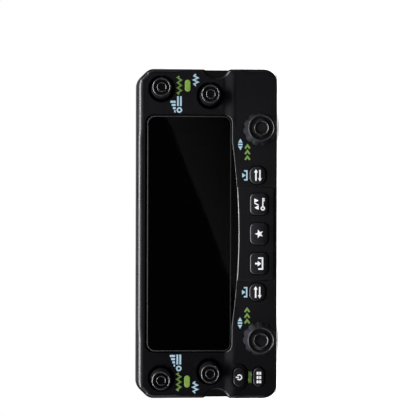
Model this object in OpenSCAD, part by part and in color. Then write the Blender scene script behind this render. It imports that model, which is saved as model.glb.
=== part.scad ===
// Control head of a two-band vehicle radio: display, two dials, four small knobs and seven keys.
// X runs to the right, Z up, and the front faces -Y. The origin is the middle of the rear mount on the back face.
// Depths are counted forward from the back face, so a depth d lies at y = -d.

/* [Case] */
// Width of the case
body_w = 140; // [136:0.5:146]
// Height of the case
body_h = 60; // [58.5:0.5:64]
// Depth from the back face to the upper face
body_d = 30; // [30:0.5:34]
// How far the lower key band stands in front of the upper face
band_rise = 1.7; // [1.2:0.1:2]
// Wall thickness of both shells
wall = 2; // [1.8:0.1:2.2]
// Depth of the rear shell, where the two shells meet
split_d = 14; // [13.5:0.5:14.5]
// Size of the slanted cut at each upper corner
corner_cut = 5.45; // [4.5:0.05:6.5]
// Radius that blends the slanted cut into its two sides
corner_r = 5.3; // [4.5:0.1:6]
// Radius of the two lower corners
foot_r = 5.8; // [5:0.1:7]
// Radius of the finger scoop in each end
scoop_r = 5.3; // [4.5:0.1:5.5]
// How far a finger scoop bites into its end
scoop_bite = 3.4; // [3:0.1:4]
// How deep a finger scoop goes below the upper face
scoop_depth = 5; // [4:0.5:6]
// Height of the scoops' middle
scoop_z = -4.5; // [-5:0.5:-4]

/* [Window] */
// Width of the window lens recess
lens_w = 100.8; // [98:0.1:101]
// Top of the lens recess
lens_top = 25.8; // [25:0.1:26]
// Lower corners of the lens recess
lens_low = -10.9; // [-11.2:0.1:-10.5]
// Lowest point of the curved lower edge
smile_z = -13.6; // [-13.8:0.1:-13.2]
// Radius of the curved lower edge
smile_r = 287; // [250:1:320]
// Corner radius of the lens and the protective film
lens_r = 3.4; // [3:0.1:4]
// Thickness of the lens
lens_t = 1.5; // [1.2:0.1:1.5]
// Size of the protective film
film_size = [100, 35.7]; // [30:0.1:100]
// Thickness of the protective film
film_t = 0.12; // [0.1:0.02:0.2]

/* [Dials] */
// Distance of each dial from the middle
dial_x = 44.4; // [44:0.1:45]
// Height of the dials' axes
dial_z = -22.7; // [-22.7:0.1:-22.3]
// Largest radius of the fluted dial skirt
dial_r = 7.2; // [6.8:0.1:7.2]
// Number of flutes round a dial
dial_flutes = 11; // [9:1:13]
// How far a dial pushes in
dial_push = 0.7; // [0.4:0.1:0.7]

/* [Small knobs] */
// Volume knob axis from the middle, and its height
volume_at = [61.5, 19]; // [18:0.1:62]
// Squelch knob axis from the middle, and its height
squelch_at = [58.7, -1.6]; // [-2:0.1:59]
// Radius of a small knob at its foot
knob_r = 4.4; // [4.1:0.1:4.5]
// Radius of the round well that a small knob stands in
well_r = 5.4; // [5.2:0.1:5.5]
// Height of a small knob above the upper face
knob_h = 9.4; // [8:0.1:11]
// Clock angle of the volume pointer at rest
volume_rest = 225; // [215:1:240]
// Clock angle of the squelch pointer at rest
squelch_rest = 257; // [240:1:270]
// How far a volume knob pushes in
volume_push = 0.5; // [0.3:0.1:0.5]

/* [Keys] */
// Width and height of the three middle keys
key_size = [9.1, 7.8]; // [7.5:0.1:9.4]
// Distance between the middle keys
key_step = 12.6; // [12:0.1:13]
// Height of the middle keys
key_z = -22.4; // [-22.6:0.1:-22.2]
// Half width of the raised middle key panel
panel_half = 20; // [19.6:0.1:20.2]
// Width and height of the two round-cornered side keys
side_key_size = [7.4, 7]; // [6.8:0.1:7.6]
// Place of a side key from the middle
side_key_at = [24.8, -21.8]; // [-22:0.1:25]
// Width and height of the power key
power_size = [8.2, 4.9]; // [4.6:0.1:8.4]
// Place of the power key
power_at = [-60.8, -14.1]; // [-61:0.1:-14]
// Width and height of the function key
func_size = [8.1, 4.7]; // [4.4:0.1:8.4]
// Place of the function key
func_at = [-60.8, -22.4]; // [-61:0.1:-22]
// Travel of a key
key_travel = 0.6; // [0.3:0.1:0.6]

/* [Rear] */
// Hole spacing of the rear mount, across and up
mount_step = [38, 30]; // [28:1:40]
// Thread core radius of the mount inserts
insert_hole_r = 1.65; // [1.6:0.05:1.7]
// Place of the data jack on the back
jack_at = [-44, -2]; // [-46:0.5:0]

/* [Hidden] */
$fn = 64;
half_w = body_w / 2;
half_h = body_h / 2;
band_d = body_d + band_rise;
// Inner faces of the front wall, behind the upper face and behind the key band
inner_d = body_d - 2.6;
band_inner_d = band_d - 2.6;
slope_top = -6.5;
slope_low = -13;
bevel_top = 3.2;
bevel_side = 1.3;
bevel_foot = 1;
// Window stack
ledge_d = body_d - 1.6;
tape_t = 0.2;
lens_d = ledge_d + tape_t + lens_t;
view_half = 48.2;
view_top = 23.4;
view_low = -8.6;
film_low = -10.6;
glass_d = inner_d - 0.2;
glass_back_d = glass_d - 1.6;
glass_half = 48.5;
glass_z = [-8.95, 24];
guide_t = 2.6;
frame_back_d = glass_back_d - guide_t - 1.4;
// Board, the screws, and the parts on its back as [x, z, width, height, thickness]
board_t = 1.6;
board_d = 19;
chip_list = [[0, 4, 12, 12, 1.2], [18, 6, 7, 5, 1.1], [-18, 6, 7, 5, 1.1], [30, -2, 5, 6.4, 1],
    [36, 14, 9, 3.4, 3], [0, -14, 4.8, 3.2, 1.3], [14, -16, 5, 4, 1.1], [-14, -16, 5, 4, 1.1],
    [50, -4, 6, 6, 2.8], [-24, 20, 6, 4, 1.1]];
case_screw_at = [[53.6, 25], [53.6, -25]];
case_boss_r = 2.7;
board_boss_r = 2.2;
screw_well_r = 3.1;
insert_r = 2.8;
insert_depth = 6.5;
board_screw_at = [[33.6, -25.5], [53.6, 9]];
indicator_at = [62.9, 8];
indicator_size = [5.1, 2.5];
// Knobs, keys and their drives
shaft_r = 1.8;
flat_cut = 0.5;
slip = 0.05;
bush_r = 3.3;
well_d = body_d - 1.6;
knob_foot_d = body_d - 0.7;
dial_foot_d = band_d + 1.3;
dial_top_d = band_d + 11.2;
key_front_d = band_d + 1.5;
panel_d = band_d + 0.15;
panel_back_d = band_d - 1.4;
key_gap = 0.2;
flange_out = 0.8;
flange_t = 1;
flange_d = band_inner_d - 1.2;
key_corner = 2.1;
side_key_corner = 2.9;
collar_size = [10.6, 6.4];
mat_top_d = 23;
stem_d = mat_top_d + key_travel + 0.1;
stem_r = 1.5;
clear = 0.2;
middle_key_places = [for (i = [-1:1]) [i * key_step, key_z]];
centre_places = concat(middle_key_places, both(side_key_at));
left_places = [power_at, func_at];
rotor_back_d = board_d + 0.35;
encoder_top_d = board_d + 5;
pot_top_d = board_d + 4.4;
disc_r = 4;
small_disc_r = 3.6;
hub_r = 2.4;
dial_neck_d = band_d - 0.6;
knob_neck_d = well_d - 0.1;
dial_places = both([dial_x, dial_z]);
volume_places = both(volume_at);
squelch_places = both(squelch_at);
knob_top_d = body_d + knob_h;
// Data jack: where it starts, and the length and size of its socket
jack_d = 0.6;
jack_depth = 12.5;
jack_size = [15.9, 13.5];

// ---- helpers -------------------------------------------------------------------------------

// A flat outline in X and Z, from depth d0 forward to depth d1
module slab(d0, d1) {
    translate([0, -d0, 0]) rotate([90, 0, 0]) linear_extrude(d1 - d0) children();
}

// A side profile drawn as [depth, z], run across the width w
module across(w) {
    translate([w / 2, 0, 0]) rotate([90, 0, -90]) linear_extrude(w) children();
}

// A round bar along the depth at [x, z]
module post(at, d0, d1, r) {
    translate([at[0], -d0, at[1]]) rotate([90, 0, 0]) cylinder(h = d1 - d0, r = r);
}

// A cone along the depth at [x, z], radius r0 at d0 and r1 at d1
module taper(at, d0, d1, r0, r1) {
    translate([at[0], -d0, at[1]]) rotate([90, 0, 0]) cylinder(h = d1 - d0, r1 = r0, r2 = r1);
}

// A rectangle with round corners, middle at [x, z]
module round_rect(at, size, r) {
    translate(at) {
        square([size[0] - 2 * r, size[1]], center = true);
        square([size[0], size[1] - 2 * r], center = true);
        for (sx = [-1, 1], sz = [-1, 1])
            translate([sx * (size[0] / 2 - r), sz * (size[1] / 2 - r)]) circle(r);
    }
}

// A long oval with half-round ends
module oval(at, size) {
    translate(at) {
        square([size[0] - size[1], size[1]], center = true);
        for (s = [-1, 1])
            translate([s * (size[0] - size[1]) / 2, 0]) circle(size[1] / 2);
    }
}

// Points of an arc round [x, z] from angle a0 to a1
function arc(at, r, a0, a1) = let (n = 7) [for (i = [0:n]) let (a = a0 + (a1 - a0) * i / n)
    [at[0] + r * cos(a), at[1] + r * sin(a)]];

// The case outline seen from the front, drawn in by inset
module case_outline(inset = 0) {
    w = half_w - inset;
    h = half_h - inset;
    cut = corner_cut - (2 - sqrt(2)) * inset;
    r = corner_r - inset;
    foot = foot_r - inset;
    t = r * tan(22.5);
    right = concat(arc([w - foot, foot - h], foot, -90, 0), arc([w - r, h - cut - t], r, 0, 45),
        arc([w - cut - t, h - r], r, 45, 90));
    polygon(concat(right, [for (i = [len(right) - 1:-1:0]) [-right[i][0], right[i][1]]]));
}

// The lens recess: a round-cornered window whose lower edge sags in a shallow curve
module lens_outline(inset = 0) {
    low = lens_low + inset;
    top = lens_top - inset;
    wide = lens_w - 2 * inset;
    round_rect([0, (top + low) / 2], [wide, top - low], lens_r - inset);
    intersection() {
        translate([-wide / 2 + lens_r, smile_z - 1]) square([wide - 2 * lens_r, low - smile_z + 4]);
        translate([0, smile_z + smile_r]) circle(smile_r - inset, $fn = 720);
    }
}

// Both mirror places of [x, z]
function both(at) = [[-at[0], at[1]], at];

function all_places(list) = [for (at = list) each both(at)];

// Front surface depth of the case at height z, rising in a smooth slope to the key band
function face_depth(z) = let (t = min(max((slope_top - z) / (slope_top - slope_low), 0), 1))
    body_d + band_rise * (1 - cos(180 * t)) / 2;

// ---- case ----------------------------------------------------------------------------------

// The front shell's outer form: outline, side profile and plan profile together
module front_form() {
    slope = [for (i = [0:12]) let (z = slope_top + (slope_low - slope_top) * i / 12) [face_depth(z), z]];
    intersection() {
        slab(split_d, band_d + 2) case_outline();
        across(body_w + 2) polygon(concat(
            [[split_d - 1, -half_h - 1], [split_d - 1, half_h + 1], [inner_d - 1, half_h + 1], [inner_d, half_h],
                [body_d, half_h - bevel_top]],
            slope,
            [[band_d, -half_h + bevel_foot], [band_d - bevel_foot, -half_h], [band_d - bevel_foot, -half_h - 1]]
        ));
        translate([0, 0, -half_h - 1]) linear_extrude(body_h + 2) polygon([
            [-half_w, -split_d], [-half_w, -body_d + bevel_side], [-half_w + bevel_side, -body_d],
            [-half_w + bevel_side, -band_d - 1], [half_w - bevel_side, -band_d - 1], [half_w - bevel_side, -body_d],
            [half_w, -body_d + bevel_side], [half_w, -split_d]
        ]);
    }
}

// Finger scoops in both ends, from depth d0 to d1
module scoops(d0, d1, bite, r) {
    for (s = [-1, 1]) post([s * (half_w - bite + r), scoop_z], d0, d1, r);
}

module key_openings(gap) {
    for (at = middle_key_places) round_rect(at, [key_size[0] + 2 * gap, key_size[1] + 2 * gap], key_corner + gap);
    for (at = both(side_key_at))
        round_rect(at, [side_key_size[0] + 2 * gap, side_key_size[1] + 2 * gap], side_key_corner + gap);
    oval(power_at, [power_size[0] + 2 * gap, power_size[1] + 2 * gap]);
    oval(func_at, [func_size[0] + 2 * gap, func_size[1] + 2 * gap]);
}

module panel_outline(inset = 0) {
    difference() {
        translate([-panel_half + inset, -half_h + 1 + inset])
            square([2 * (panel_half - inset), smile_z + half_h + 2]);
        translate([0, smile_z + smile_r]) circle(smile_r + inset, $fn = 720);
    }
}

module front_shell() color("#3c3c42") {
    difference() {
        union() {
            difference() {
                union() {
                    front_form();
                    slab(body_d - 1, band_d + 0.5) oval(power_at, collar_size);
                }
                slab(split_d - 1, inner_d) case_outline(wall);
                slab(inner_d - 1, band_inner_d)
                    translate([-half_w + 3, -half_h + wall]) square([body_w - 6, half_h - wall - 15]);
                slab(inner_d - 1, band_inner_d) translate([-half_w + 3, -15.5]) square([13.5, 5.3]);
            }
            difference() {
                scoops(body_d - scoop_depth - wall, body_d - 1, scoop_bite + wall, scoop_r + wall);
                slab(split_d - 1, body_d) difference() {
                    square([2 * body_w, 2 * body_h], center = true);
                    square([body_w - 1, body_h], center = true);
                }
            }
            for (at = both(case_screw_at[0])) post(at, split_d, inner_d + 0.5, case_boss_r);
            for (at = both(case_screw_at[1])) post(at, split_d, band_inner_d + 0.5, case_boss_r);
            for (at = both(board_screw_at[0])) post(at, board_d, band_inner_d + 0.5, board_boss_r);
            for (at = both(board_screw_at[1])) post(at, board_d, inner_d + 0.5, board_boss_r);
        }
        scoops(body_d - scoop_depth, band_d + 2, scoop_bite, scoop_r);
        slab(ledge_d, band_d + 1) lens_outline();
        slab(inner_d - 1, body_d) translate([-view_half, view_low]) square([2 * view_half, view_top - view_low]);
        slab(panel_back_d, band_d + 1) panel_outline();
        slab(inner_d - 1, band_d + 2) key_openings(key_gap);
        for (at = both(indicator_at))
            slab(inner_d - 1, body_d + 1) oval(at, [indicator_size[0] + 0.2, indicator_size[1] + 0.2]);
        for (at = concat(both(volume_at), both(squelch_at))) {
            post(at, well_d, band_d + 1, well_r);
            post(at, inner_d - 1, band_d, bush_r + clear);
        }
        for (at = both([dial_x, dial_z])) post(at, inner_d - 1, band_d + 1, bush_r + clear);
        for (at = all_places(case_screw_at)) post(at, split_d - 1, 24, 1.52);
        for (at = all_places(board_screw_at)) post(at, board_d - 1, 25, 1.02);
    }
}

// The ring that locates the rear shell inside the front one, left out at the scoops and screw bosses
module tongue_outline(outer) difference() {
    case_outline(outer);
    case_outline(wall + 1.1);
    for (at = all_places(case_screw_at)) translate(at) circle(case_boss_r + 2 * clear);
    for (s = [-1, 1]) translate([s * half_w, scoop_z]) square([2 * (scoop_bite + wall + 1.6), 18], center = true);
}

module rear_shell() color("#2c2c30") {
    back_edge = 1.5;
    difference() {
        union() {
            difference() {
                intersection() {
                    slab(0, split_d) case_outline();
                    across(body_w + 2) polygon([[0, -half_h + back_edge], [0, half_h - back_edge],
                        [back_edge, half_h], [split_d, half_h], [split_d, -half_h], [back_edge, -half_h]]);
                    translate([0, 0, -half_h]) linear_extrude(body_h) polygon([
                        [-half_w, -split_d], [-half_w, -back_edge], [-half_w + back_edge, 0],
                        [half_w - back_edge, 0], [half_w, -back_edge], [half_w, -split_d]]);
                }
                slab(wall, split_d + 1) case_outline(wall);
            }
            slab(split_d - 2, split_d) tongue_outline(wall - 0.3);
            slab(split_d - 0.5, split_d + 1.3) tongue_outline(wall + 0.12);
            for (at = all_places(case_screw_at)) intersection() {
                post(at, wall - 1, split_d, 4);
                slab(0, split_d) case_outline(1);
            }
            for (sx = [-1, 1], sz = [-1, 1])
                post([sx * mount_step[0] / 2, sz * mount_step[1] / 2], 1, 9, 4.3);
            for (z = [-15, 15]) translate([-13, -9, z - 0.6]) cube([26, 8, 1.2]);
            for (x = [-19, 19]) translate([x - 0.6, -9, -10]) cube([1.2, 8, 20]);
        }
        for (at = all_places(case_screw_at)) {
            post(at, -1, 3, screw_well_r);
            post(at, 2, split_d + 1, 1.7);
        }
        for (sx = [-1, 1], sz = [-1, 1])
            post([sx * mount_step[0] / 2, sz * mount_step[1] / 2], -1, insert_depth + 1, insert_r + 0.02);
        slab(-1, wall + 1) translate(jack_at)
            square([jack_size[0] + 2 * clear, jack_size[1] + 2 * clear], center = true);
    }
}

module key_panel() color("#47474d") {
    difference() {
        slab(panel_back_d + 0.02, panel_d) panel_outline(0.12);
        slab(0, band_d + 2) key_openings(key_gap);
    }
}

// ---- display -------------------------------------------------------------------------------

module window_lens() color("#16161a") slab(ledge_d + tape_t, lens_d) lens_outline(0.15);

module lens_tape() color("#0c0c0e") slab(ledge_d, ledge_d + tape_t) difference() {
    lens_outline(0.6);
    translate([-view_half - 0.3, view_low - 0.3]) square([2 * view_half + 0.6, view_top - view_low + 0.6]);
}

module screen_film() color("#8a8a90") slab(lens_d, lens_d + film_t)
    round_rect([0, film_low + film_size[1] / 2], film_size, lens_r);

module lcd_glass() color("#1d1d22") slab(glass_back_d, glass_d)
    translate([-glass_half, glass_z[0]]) square([2 * glass_half, glass_z[1] - glass_z[0]]);

module light_guide() color("#d9d9d2") slab(glass_back_d - guide_t, glass_back_d - 0.05)
    translate([-glass_half + 0.3, glass_z[0] + 0.3])
        square([2 * glass_half - 0.6, glass_z[1] - glass_z[0] - 0.6]);

module lcd_frame() color("#e4e2da") {
    difference() {
        slab(frame_back_d, glass_d + 0.1) translate([-50, -10.2]) square([100, 35.4]);
        slab(frame_back_d + 1.3, glass_d + 1)
            translate([-glass_half - 0.15, glass_z[0] - 0.15])
                square([2 * glass_half + 0.3, glass_z[1] - glass_z[0] + 0.3]);
        slab(frame_back_d + 1.3, glass_back_d + 1.5) translate([-17, -11]) square([34, 3]);
    }
    for (x = [-44, 44], z = [-5, 20]) post([x, z], board_d, frame_back_d + 0.2, 1.6);
}

// A flat ribbon bent from the glass's lower edge back to the board
module lcd_flex() color("#b8742c") across(30) polygon([
    [glass_back_d + 0.9, glass_z[0] - 0.02], [glass_back_d + 0.9, -11.4], [glass_back_d + 0.2, -12.4],
    [board_d + 1.2, -12.4], [board_d + 1.2, -13.6], [board_d + 0.02, -13.6], [board_d + 0.02, -12.1],
    [glass_back_d, -12.1], [glass_back_d + 0.6, -11.2], [glass_back_d + 0.6, glass_z[0] - 0.02]]);

// ---- board ---------------------------------------------------------------------------------

module main_board() color("#1f5a3a") slab(board_d - board_t, board_d) difference() {
    case_outline(wall + 0.5);
    for (at = all_places(case_screw_at)) translate(at) circle(3.2);
    for (at = all_places(case_screw_at))
        translate([at[0] - 3.2, at[1] > 0 ? at[1] : at[1] - 6]) square([6.4, 6]);
    for (at = all_places(board_screw_at)) translate(at) circle(1.15);
    for (s = [-1, 1]) translate([s * half_w, scoop_z]) square([2 * (scoop_bite + wall + 0.5), 16.4], center = true);
}

module board_chips() color("#17171a")
    for (c = chip_list)
        slab(board_d - board_t - c[4], board_d - board_t) translate([c[0], c[1]]) square([c[2], c[3]], center = true);

module status_leds() color("#e8f7b0")
    for (at = both(indicator_at)) slab(board_d, board_d + 0.9) translate(at) square([3, 1.6], center = true);

module indicator(at) color("#c8f45a") {
    slab(board_d + 1.2, body_d + 0.3) oval(at, indicator_size);
    slab(inner_d - 1.1, inner_d - 0.1) oval(at, [indicator_size[0] + 1.6, indicator_size[1] + 1.6]);
}

module indicator_left() indicator(both(indicator_at)[0]);

module indicator_right() indicator(both(indicator_at)[1]);

// ---- keys ----------------------------------------------------------------------------------

// A silicone mat with a raised button under each key, hollow over its snap dome
module mat(places, at, size) color("#9a9a98") difference() {
    union() {
        slab(board_d, board_d + 0.8) round_rect(at, size, 1);
        for (p = places) taper(p, board_d + 0.7, board_d + 2, 3, 2.4);
        for (p = places) post(p, board_d + 1.9, mat_top_d, 1.9);
    }
    for (p = places) post(p, board_d - 1, board_d + 0.9, 2.3);
}

module key_mat() mat(centre_places, [0, -22], [60, 10.4]);

module side_key_mat() mat(left_places, [-60.7, -18.6], [8, 15]);

module snap_domes() color("#c9c9cc")
    for (p = concat(centre_places, left_places)) {
        post(p, board_d, board_d + 0.1, 2.1);
        taper(p, board_d + 0.1, board_d + 0.5, 2.1, 0.8);
    }

// A hard key: cap, retaining flange behind the wall, and the stem that meets the mat
module key_solid(at, tall) {
    slab(flange_d, flange_d + flange_t) children(1);
    slab(flange_d, tall) children(0);
    post(at, stem_d, flange_d + 0.5, stem_r);
}

module middle_key(i) color("#58585e") key_solid(middle_key_places[i], key_front_d) {
    round_rect(middle_key_places[i], key_size, key_corner);
    round_rect(middle_key_places[i], [key_size[0] + 2 * flange_out, key_size[1] + 2 * flange_out], key_corner);
}

module side_key(at) color("#58585e") key_solid(at, key_front_d - 0.2) {
    round_rect(at, side_key_size, side_key_corner);
    round_rect(at, [side_key_size[0] + 2 * flange_out, side_key_size[1] + 2 * flange_out], side_key_corner);
}

module oval_key(at, size, tall) color("#58585e") key_solid(at, tall) {
    oval(at, size);
    oval(at, [size[0] + 2 * flange_out, size[1] + 2 * flange_out]);
}

module key_power() oval_key(power_at, power_size, band_d + 1.1);

module key_function() oval_key(func_at, func_size, band_d + 1.3);

module key_swap_left() side_key(both(side_key_at)[0]);

module key_swap_right() side_key(both(side_key_at)[1]);

module key_store() middle_key(0);

module key_star() middle_key(1);

module key_level() middle_key(2);

// ---- dials ---------------------------------------------------------------------------------

// A round shaft with one flat, grown by gap where it is cut as a bore
module flat_shaft(at, d0, d1, gap = 0) intersection() {
    post(at, d0, d1, shaft_r + gap);
    slab(d0, d1) translate([at[0] - 4, at[1] - 4]) square([8, 4 + shaft_r - flat_cut + gap]);
}

// The fixed housing of a control: a square can on the board and a round neck through the wall
module control_body(at, half, top_d, neck_d, inner_r) color("#8d8f94") difference() {
    union() {
        slab(board_d, top_d) translate(at) square(2 * half, center = true);
        post(at, top_d - 0.5, neck_d, bush_r);
    }
    post(at, board_d - 1, top_d - 0.9, inner_r + slip);
    post(at, board_d - 1, neck_d + 1, hub_r + slip);
}

// The turning hub inside a control, with a flatted bore for the shaft that slides in it
module control_rotor(at, top_d, neck_d, outer_r) color("#d8d6c8") difference() {
    union() {
        post(at, rotor_back_d, top_d - 1.1, outer_r);
        post(at, top_d - 1.2, neck_d - 0.3, hub_r);
    }
    flat_shaft(at, rotor_back_d - 1, neck_d + 1, slip);
}

module encoder_body_left() control_body(dial_places[0], 5, encoder_top_d, dial_neck_d, disc_r);

module encoder_body_right() control_body(dial_places[1], 5, encoder_top_d, dial_neck_d, disc_r);

module encoder_rotor_left() control_rotor(dial_places[0], encoder_top_d, dial_neck_d, disc_r);

module encoder_rotor_right() control_rotor(dial_places[1], encoder_top_d, dial_neck_d, disc_r);

module dial_shaft(at) color("#b9babd") flat_shaft(at, board_d + dial_push + 0.5, dial_top_d - 2.6);

module dial_shaft_left() dial_shaft(dial_places[0]);

module dial_shaft_right() dial_shaft(dial_places[1]);

// A tall dial: fluted and tapered outside, hollow skirt below, round recess for its cap on top
module dial_knob(at) color("#505056") difference() {
    union() {
        post(at, dial_foot_d, dial_foot_d + 1.4, dial_r);
        taper(at, dial_foot_d + 1.4, dial_top_d - 0.8, dial_r, dial_r - 1.3);
        taper(at, dial_top_d - 0.8, dial_top_d, dial_r - 1.3, dial_r - 1.9);
    }
    for (i = [0:dial_flutes - 1]) let (a = 360 * i / dial_flutes) translate([at[0], -dial_foot_d + 1, at[1]])
        rotate([0, a, 0]) rotate([92, 0, 0]) translate([0, dial_r + 0.75, 0]) cylinder(h = 14, r = 1.35);
    post(at, dial_top_d - 0.9, dial_top_d + 1, 4.15);
    difference() {
        post(at, dial_foot_d - 1, dial_foot_d + 4.5, 5.3);
        post(at, dial_foot_d - 1, dial_foot_d + 5, 3);
    }
    flat_shaft(at, dial_foot_d - 1, dial_top_d - 2.5, 0.02);
}

module dial_knob_left() dial_knob(dial_places[0]);

module dial_knob_right() dial_knob(dial_places[1]);

module dial_cap(at) color("#5c5c62") difference() {
    union() {
        post(at, dial_top_d - 0.9, dial_top_d - 0.6, 4.1);
        post(at, dial_top_d - 0.7, dial_top_d - 0.1, 3.2);
    }
    taper(at, dial_top_d - 0.5, dial_top_d, 2.3, 3);
}

module dial_cap_left() dial_cap(dial_places[0]);

module dial_cap_right() dial_cap(dial_places[1]);

// ---- small knobs ---------------------------------------------------------------------------

module volume_pot_left() control_body(volume_places[0], 4.5, pot_top_d, knob_neck_d, small_disc_r);

module volume_pot_right() control_body(volume_places[1], 4.5, pot_top_d, knob_neck_d, small_disc_r);

module volume_rotor_left() control_rotor(volume_places[0], pot_top_d, knob_neck_d, small_disc_r);

module volume_rotor_right() control_rotor(volume_places[1], pot_top_d, knob_neck_d, small_disc_r);

module volume_shaft(at) color("#b9babd") flat_shaft(at, board_d + volume_push + 0.5, knob_top_d - 2);

module volume_shaft_left() volume_shaft(volume_places[0]);

module volume_shaft_right() volume_shaft(volume_places[1]);

module squelch_pot_left() control_body(squelch_places[0], 4.4, pot_top_d, knob_neck_d, small_disc_r);

module squelch_pot_right() control_body(squelch_places[1], 4.4, pot_top_d, knob_neck_d, small_disc_r);

// The squelch shaft is one piece with its wiper disc
module squelch_shaft(at) color("#b9babd") {
    post(at, rotor_back_d, pot_top_d - 1.1, small_disc_r);
    post(at, pot_top_d - 1.2, knob_neck_d - 0.3, hub_r);
    flat_shaft(at, knob_neck_d - 0.4, knob_top_d - 2);
}

module squelch_shaft_left() squelch_shaft(squelch_places[0]);

module squelch_shaft_right() squelch_shaft(squelch_places[1]);

// A small knob: tapered barrel, ringed top with a pointer slot at the clock angle
module small_knob(at, angle) color("#505056") difference() {
    union() {
        taper(at, knob_foot_d, knob_top_d - 0.5, knob_r, knob_r - 0.35);
        taper(at, knob_top_d - 0.5, knob_top_d, knob_r - 0.35, knob_r - 0.75);
    }
    difference() {
        post(at, knob_top_d - 0.7, knob_top_d + 1, 3.1);
        post(at, knob_top_d - 1, knob_top_d - 0.1, 2.15);
    }
    post(at, knob_top_d - 0.7, knob_top_d + 1, 1.5);
    translate([at[0], 0, at[1]]) rotate([0, angle, 0])
        translate([-0.4, -knob_top_d - 1, 1.1]) cube([0.8, 1.8, 6]);
    flat_shaft(at, knob_foot_d - 1, knob_top_d - 1.95, 0.02);
}

module volume_knob_left() small_knob(volume_places[0], volume_rest);

module volume_knob_right() small_knob(volume_places[1], volume_rest);

module squelch_knob_left() small_knob(squelch_places[0], squelch_rest);

module squelch_knob_right() small_knob(squelch_places[1], squelch_rest);

// Thin nuts that clamp the six control necks, just behind the front wall
module control_nuts() color("#b08d3c") {
    for (at = dial_places) slab(band_inner_d - 1.9, band_inner_d - 0.1) difference() {
        translate(at) circle(4.9, $fn = 6);
        translate(at) circle(bush_r + 0.02);
    }
    for (at = concat(volume_places, squelch_places)) slab(inner_d - 1.9, inner_d - 0.1) difference() {
        translate(at) circle(4.7, $fn = 6);
        translate(at) circle(bush_r + 0.02);
    }
}

// ---- rear jack, fasteners ------------------------------------------------------------------

module data_jack() color("#1b1b1e") difference() {
    slab(jack_d, board_d - board_t) translate(jack_at) square(jack_size, center = true);
    slab(jack_d - 1, jack_d + jack_depth) translate(jack_at) square([11.8, 6.9], center = true);
    slab(jack_d - 1, jack_d + jack_depth - 3) translate([jack_at[0], jack_at[1] - 4])
        square([6.2, 2.6], center = true);
    slab(jack_d - 1, jack_d + jack_depth - 3) translate([jack_at[0], jack_at[1] - 5.3])
        square([3.4, 1.2], center = true);
}

module jack_contacts() color("#d6ab45")
    for (i = [0:7]) translate([jack_at[0] + (i - 3.5) * 1.02, 0, jack_at[1]]) across(0.45) polygon([
        [2.4, 3.4], [2.9, 3.4], [11.6, 0.9], [13.1, 0.9], [13.1, 0.5], [11.4, 0.5], [2.4, 3.1]]);

// A pan-head screw driven forward from depth head_d, with a cross recess
module screw(at, head_d, head_r, head_t, shank_r, tip_d) difference() {
    union() {
        post(at, head_d - head_t, head_d, head_r);
        post(at, head_d - 0.1, tip_d, shank_r);
    }
    for (a = [0, 90]) translate([at[0], 0, at[1]]) rotate([0, a, 0])
        translate([-head_r * 0.6, -head_d + head_t * 0.35, -0.3]) cube([head_r * 1.2, head_t, 0.6]);
}

module case_screws() color("#35353a")
    for (at = all_places(case_screw_at)) screw(at, 3, 2.75, 1.9, 1.5, 22);

module board_screws() color("#a8a9ad")
    for (at = all_places(board_screw_at)) screw(at, board_d - board_t, 1.9, 1.3, 1, 24);

module mount_inserts() color("#c79a3b")
    for (sx = [-1, 1], sz = [-1, 1]) let (at = [sx * mount_step[0] / 2, sz * mount_step[1] / 2]) difference() {
        post(at, 0, insert_depth, insert_r);
        post(at, -1, insert_depth + 1, insert_hole_r);
    }

// ---- drawing -------------------------------------------------------------------------------

front_shell();
rear_shell();
key_panel();
window_lens();
lens_tape();
screen_film();
lcd_glass();
lcd_frame();
light_guide();
lcd_flex();
main_board();
board_chips();
status_leds();
key_mat();
side_key_mat();
snap_domes();
indicator_left();
indicator_right();
key_power();
key_function();
key_swap_left();
key_swap_right();
key_store();
key_star();
key_level();
encoder_body_left();
encoder_body_right();
encoder_rotor_left();
encoder_rotor_right();
dial_shaft_left();
dial_shaft_right();
dial_knob_left();
dial_knob_right();
dial_cap_left();
dial_cap_right();
volume_pot_left();
volume_pot_right();
volume_rotor_left();
volume_rotor_right();
volume_shaft_left();
volume_shaft_right();
volume_knob_left();
volume_knob_right();
squelch_pot_left();
squelch_pot_right();
squelch_shaft_left();
squelch_shaft_right();
squelch_knob_left();
squelch_knob_right();
data_jack();
jack_contacts();
case_screws();
board_screws();
mount_inserts();
control_nuts();
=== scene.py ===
import math

import bmesh
import bpy
import numpy as np
from mathutils import Matrix, Vector
from mathutils.geometry import delaunay_2d_cdt


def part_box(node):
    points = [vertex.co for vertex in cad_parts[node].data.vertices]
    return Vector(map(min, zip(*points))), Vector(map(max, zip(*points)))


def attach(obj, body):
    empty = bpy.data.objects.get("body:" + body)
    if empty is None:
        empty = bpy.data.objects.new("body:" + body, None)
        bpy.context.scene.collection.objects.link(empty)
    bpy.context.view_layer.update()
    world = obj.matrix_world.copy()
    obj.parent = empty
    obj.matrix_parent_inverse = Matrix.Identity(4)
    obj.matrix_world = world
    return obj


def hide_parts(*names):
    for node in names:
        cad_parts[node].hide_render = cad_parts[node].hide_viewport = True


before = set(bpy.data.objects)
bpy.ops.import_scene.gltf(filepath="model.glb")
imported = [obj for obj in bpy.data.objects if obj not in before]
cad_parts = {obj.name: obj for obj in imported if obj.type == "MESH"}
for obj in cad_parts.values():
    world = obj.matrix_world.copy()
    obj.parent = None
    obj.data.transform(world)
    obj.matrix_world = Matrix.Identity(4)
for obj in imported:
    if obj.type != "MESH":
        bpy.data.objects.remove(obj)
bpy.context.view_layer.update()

# ---- Room, light and camera ----
# The head stands on a pale table in a white studio: one large soft light above, dimmer ones in
# front and at the ends. The camera looks straight at the face from slightly above, turned on its side.

MM = 0.001
ENDS = ("left", "right")


def middle(node):
    """Middle of a node's box as (x, z), in millimetres."""
    low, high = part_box(node)
    return ((low.x + high.x) / 2 / MM, (low.z + high.z) / 2 / MM)


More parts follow.
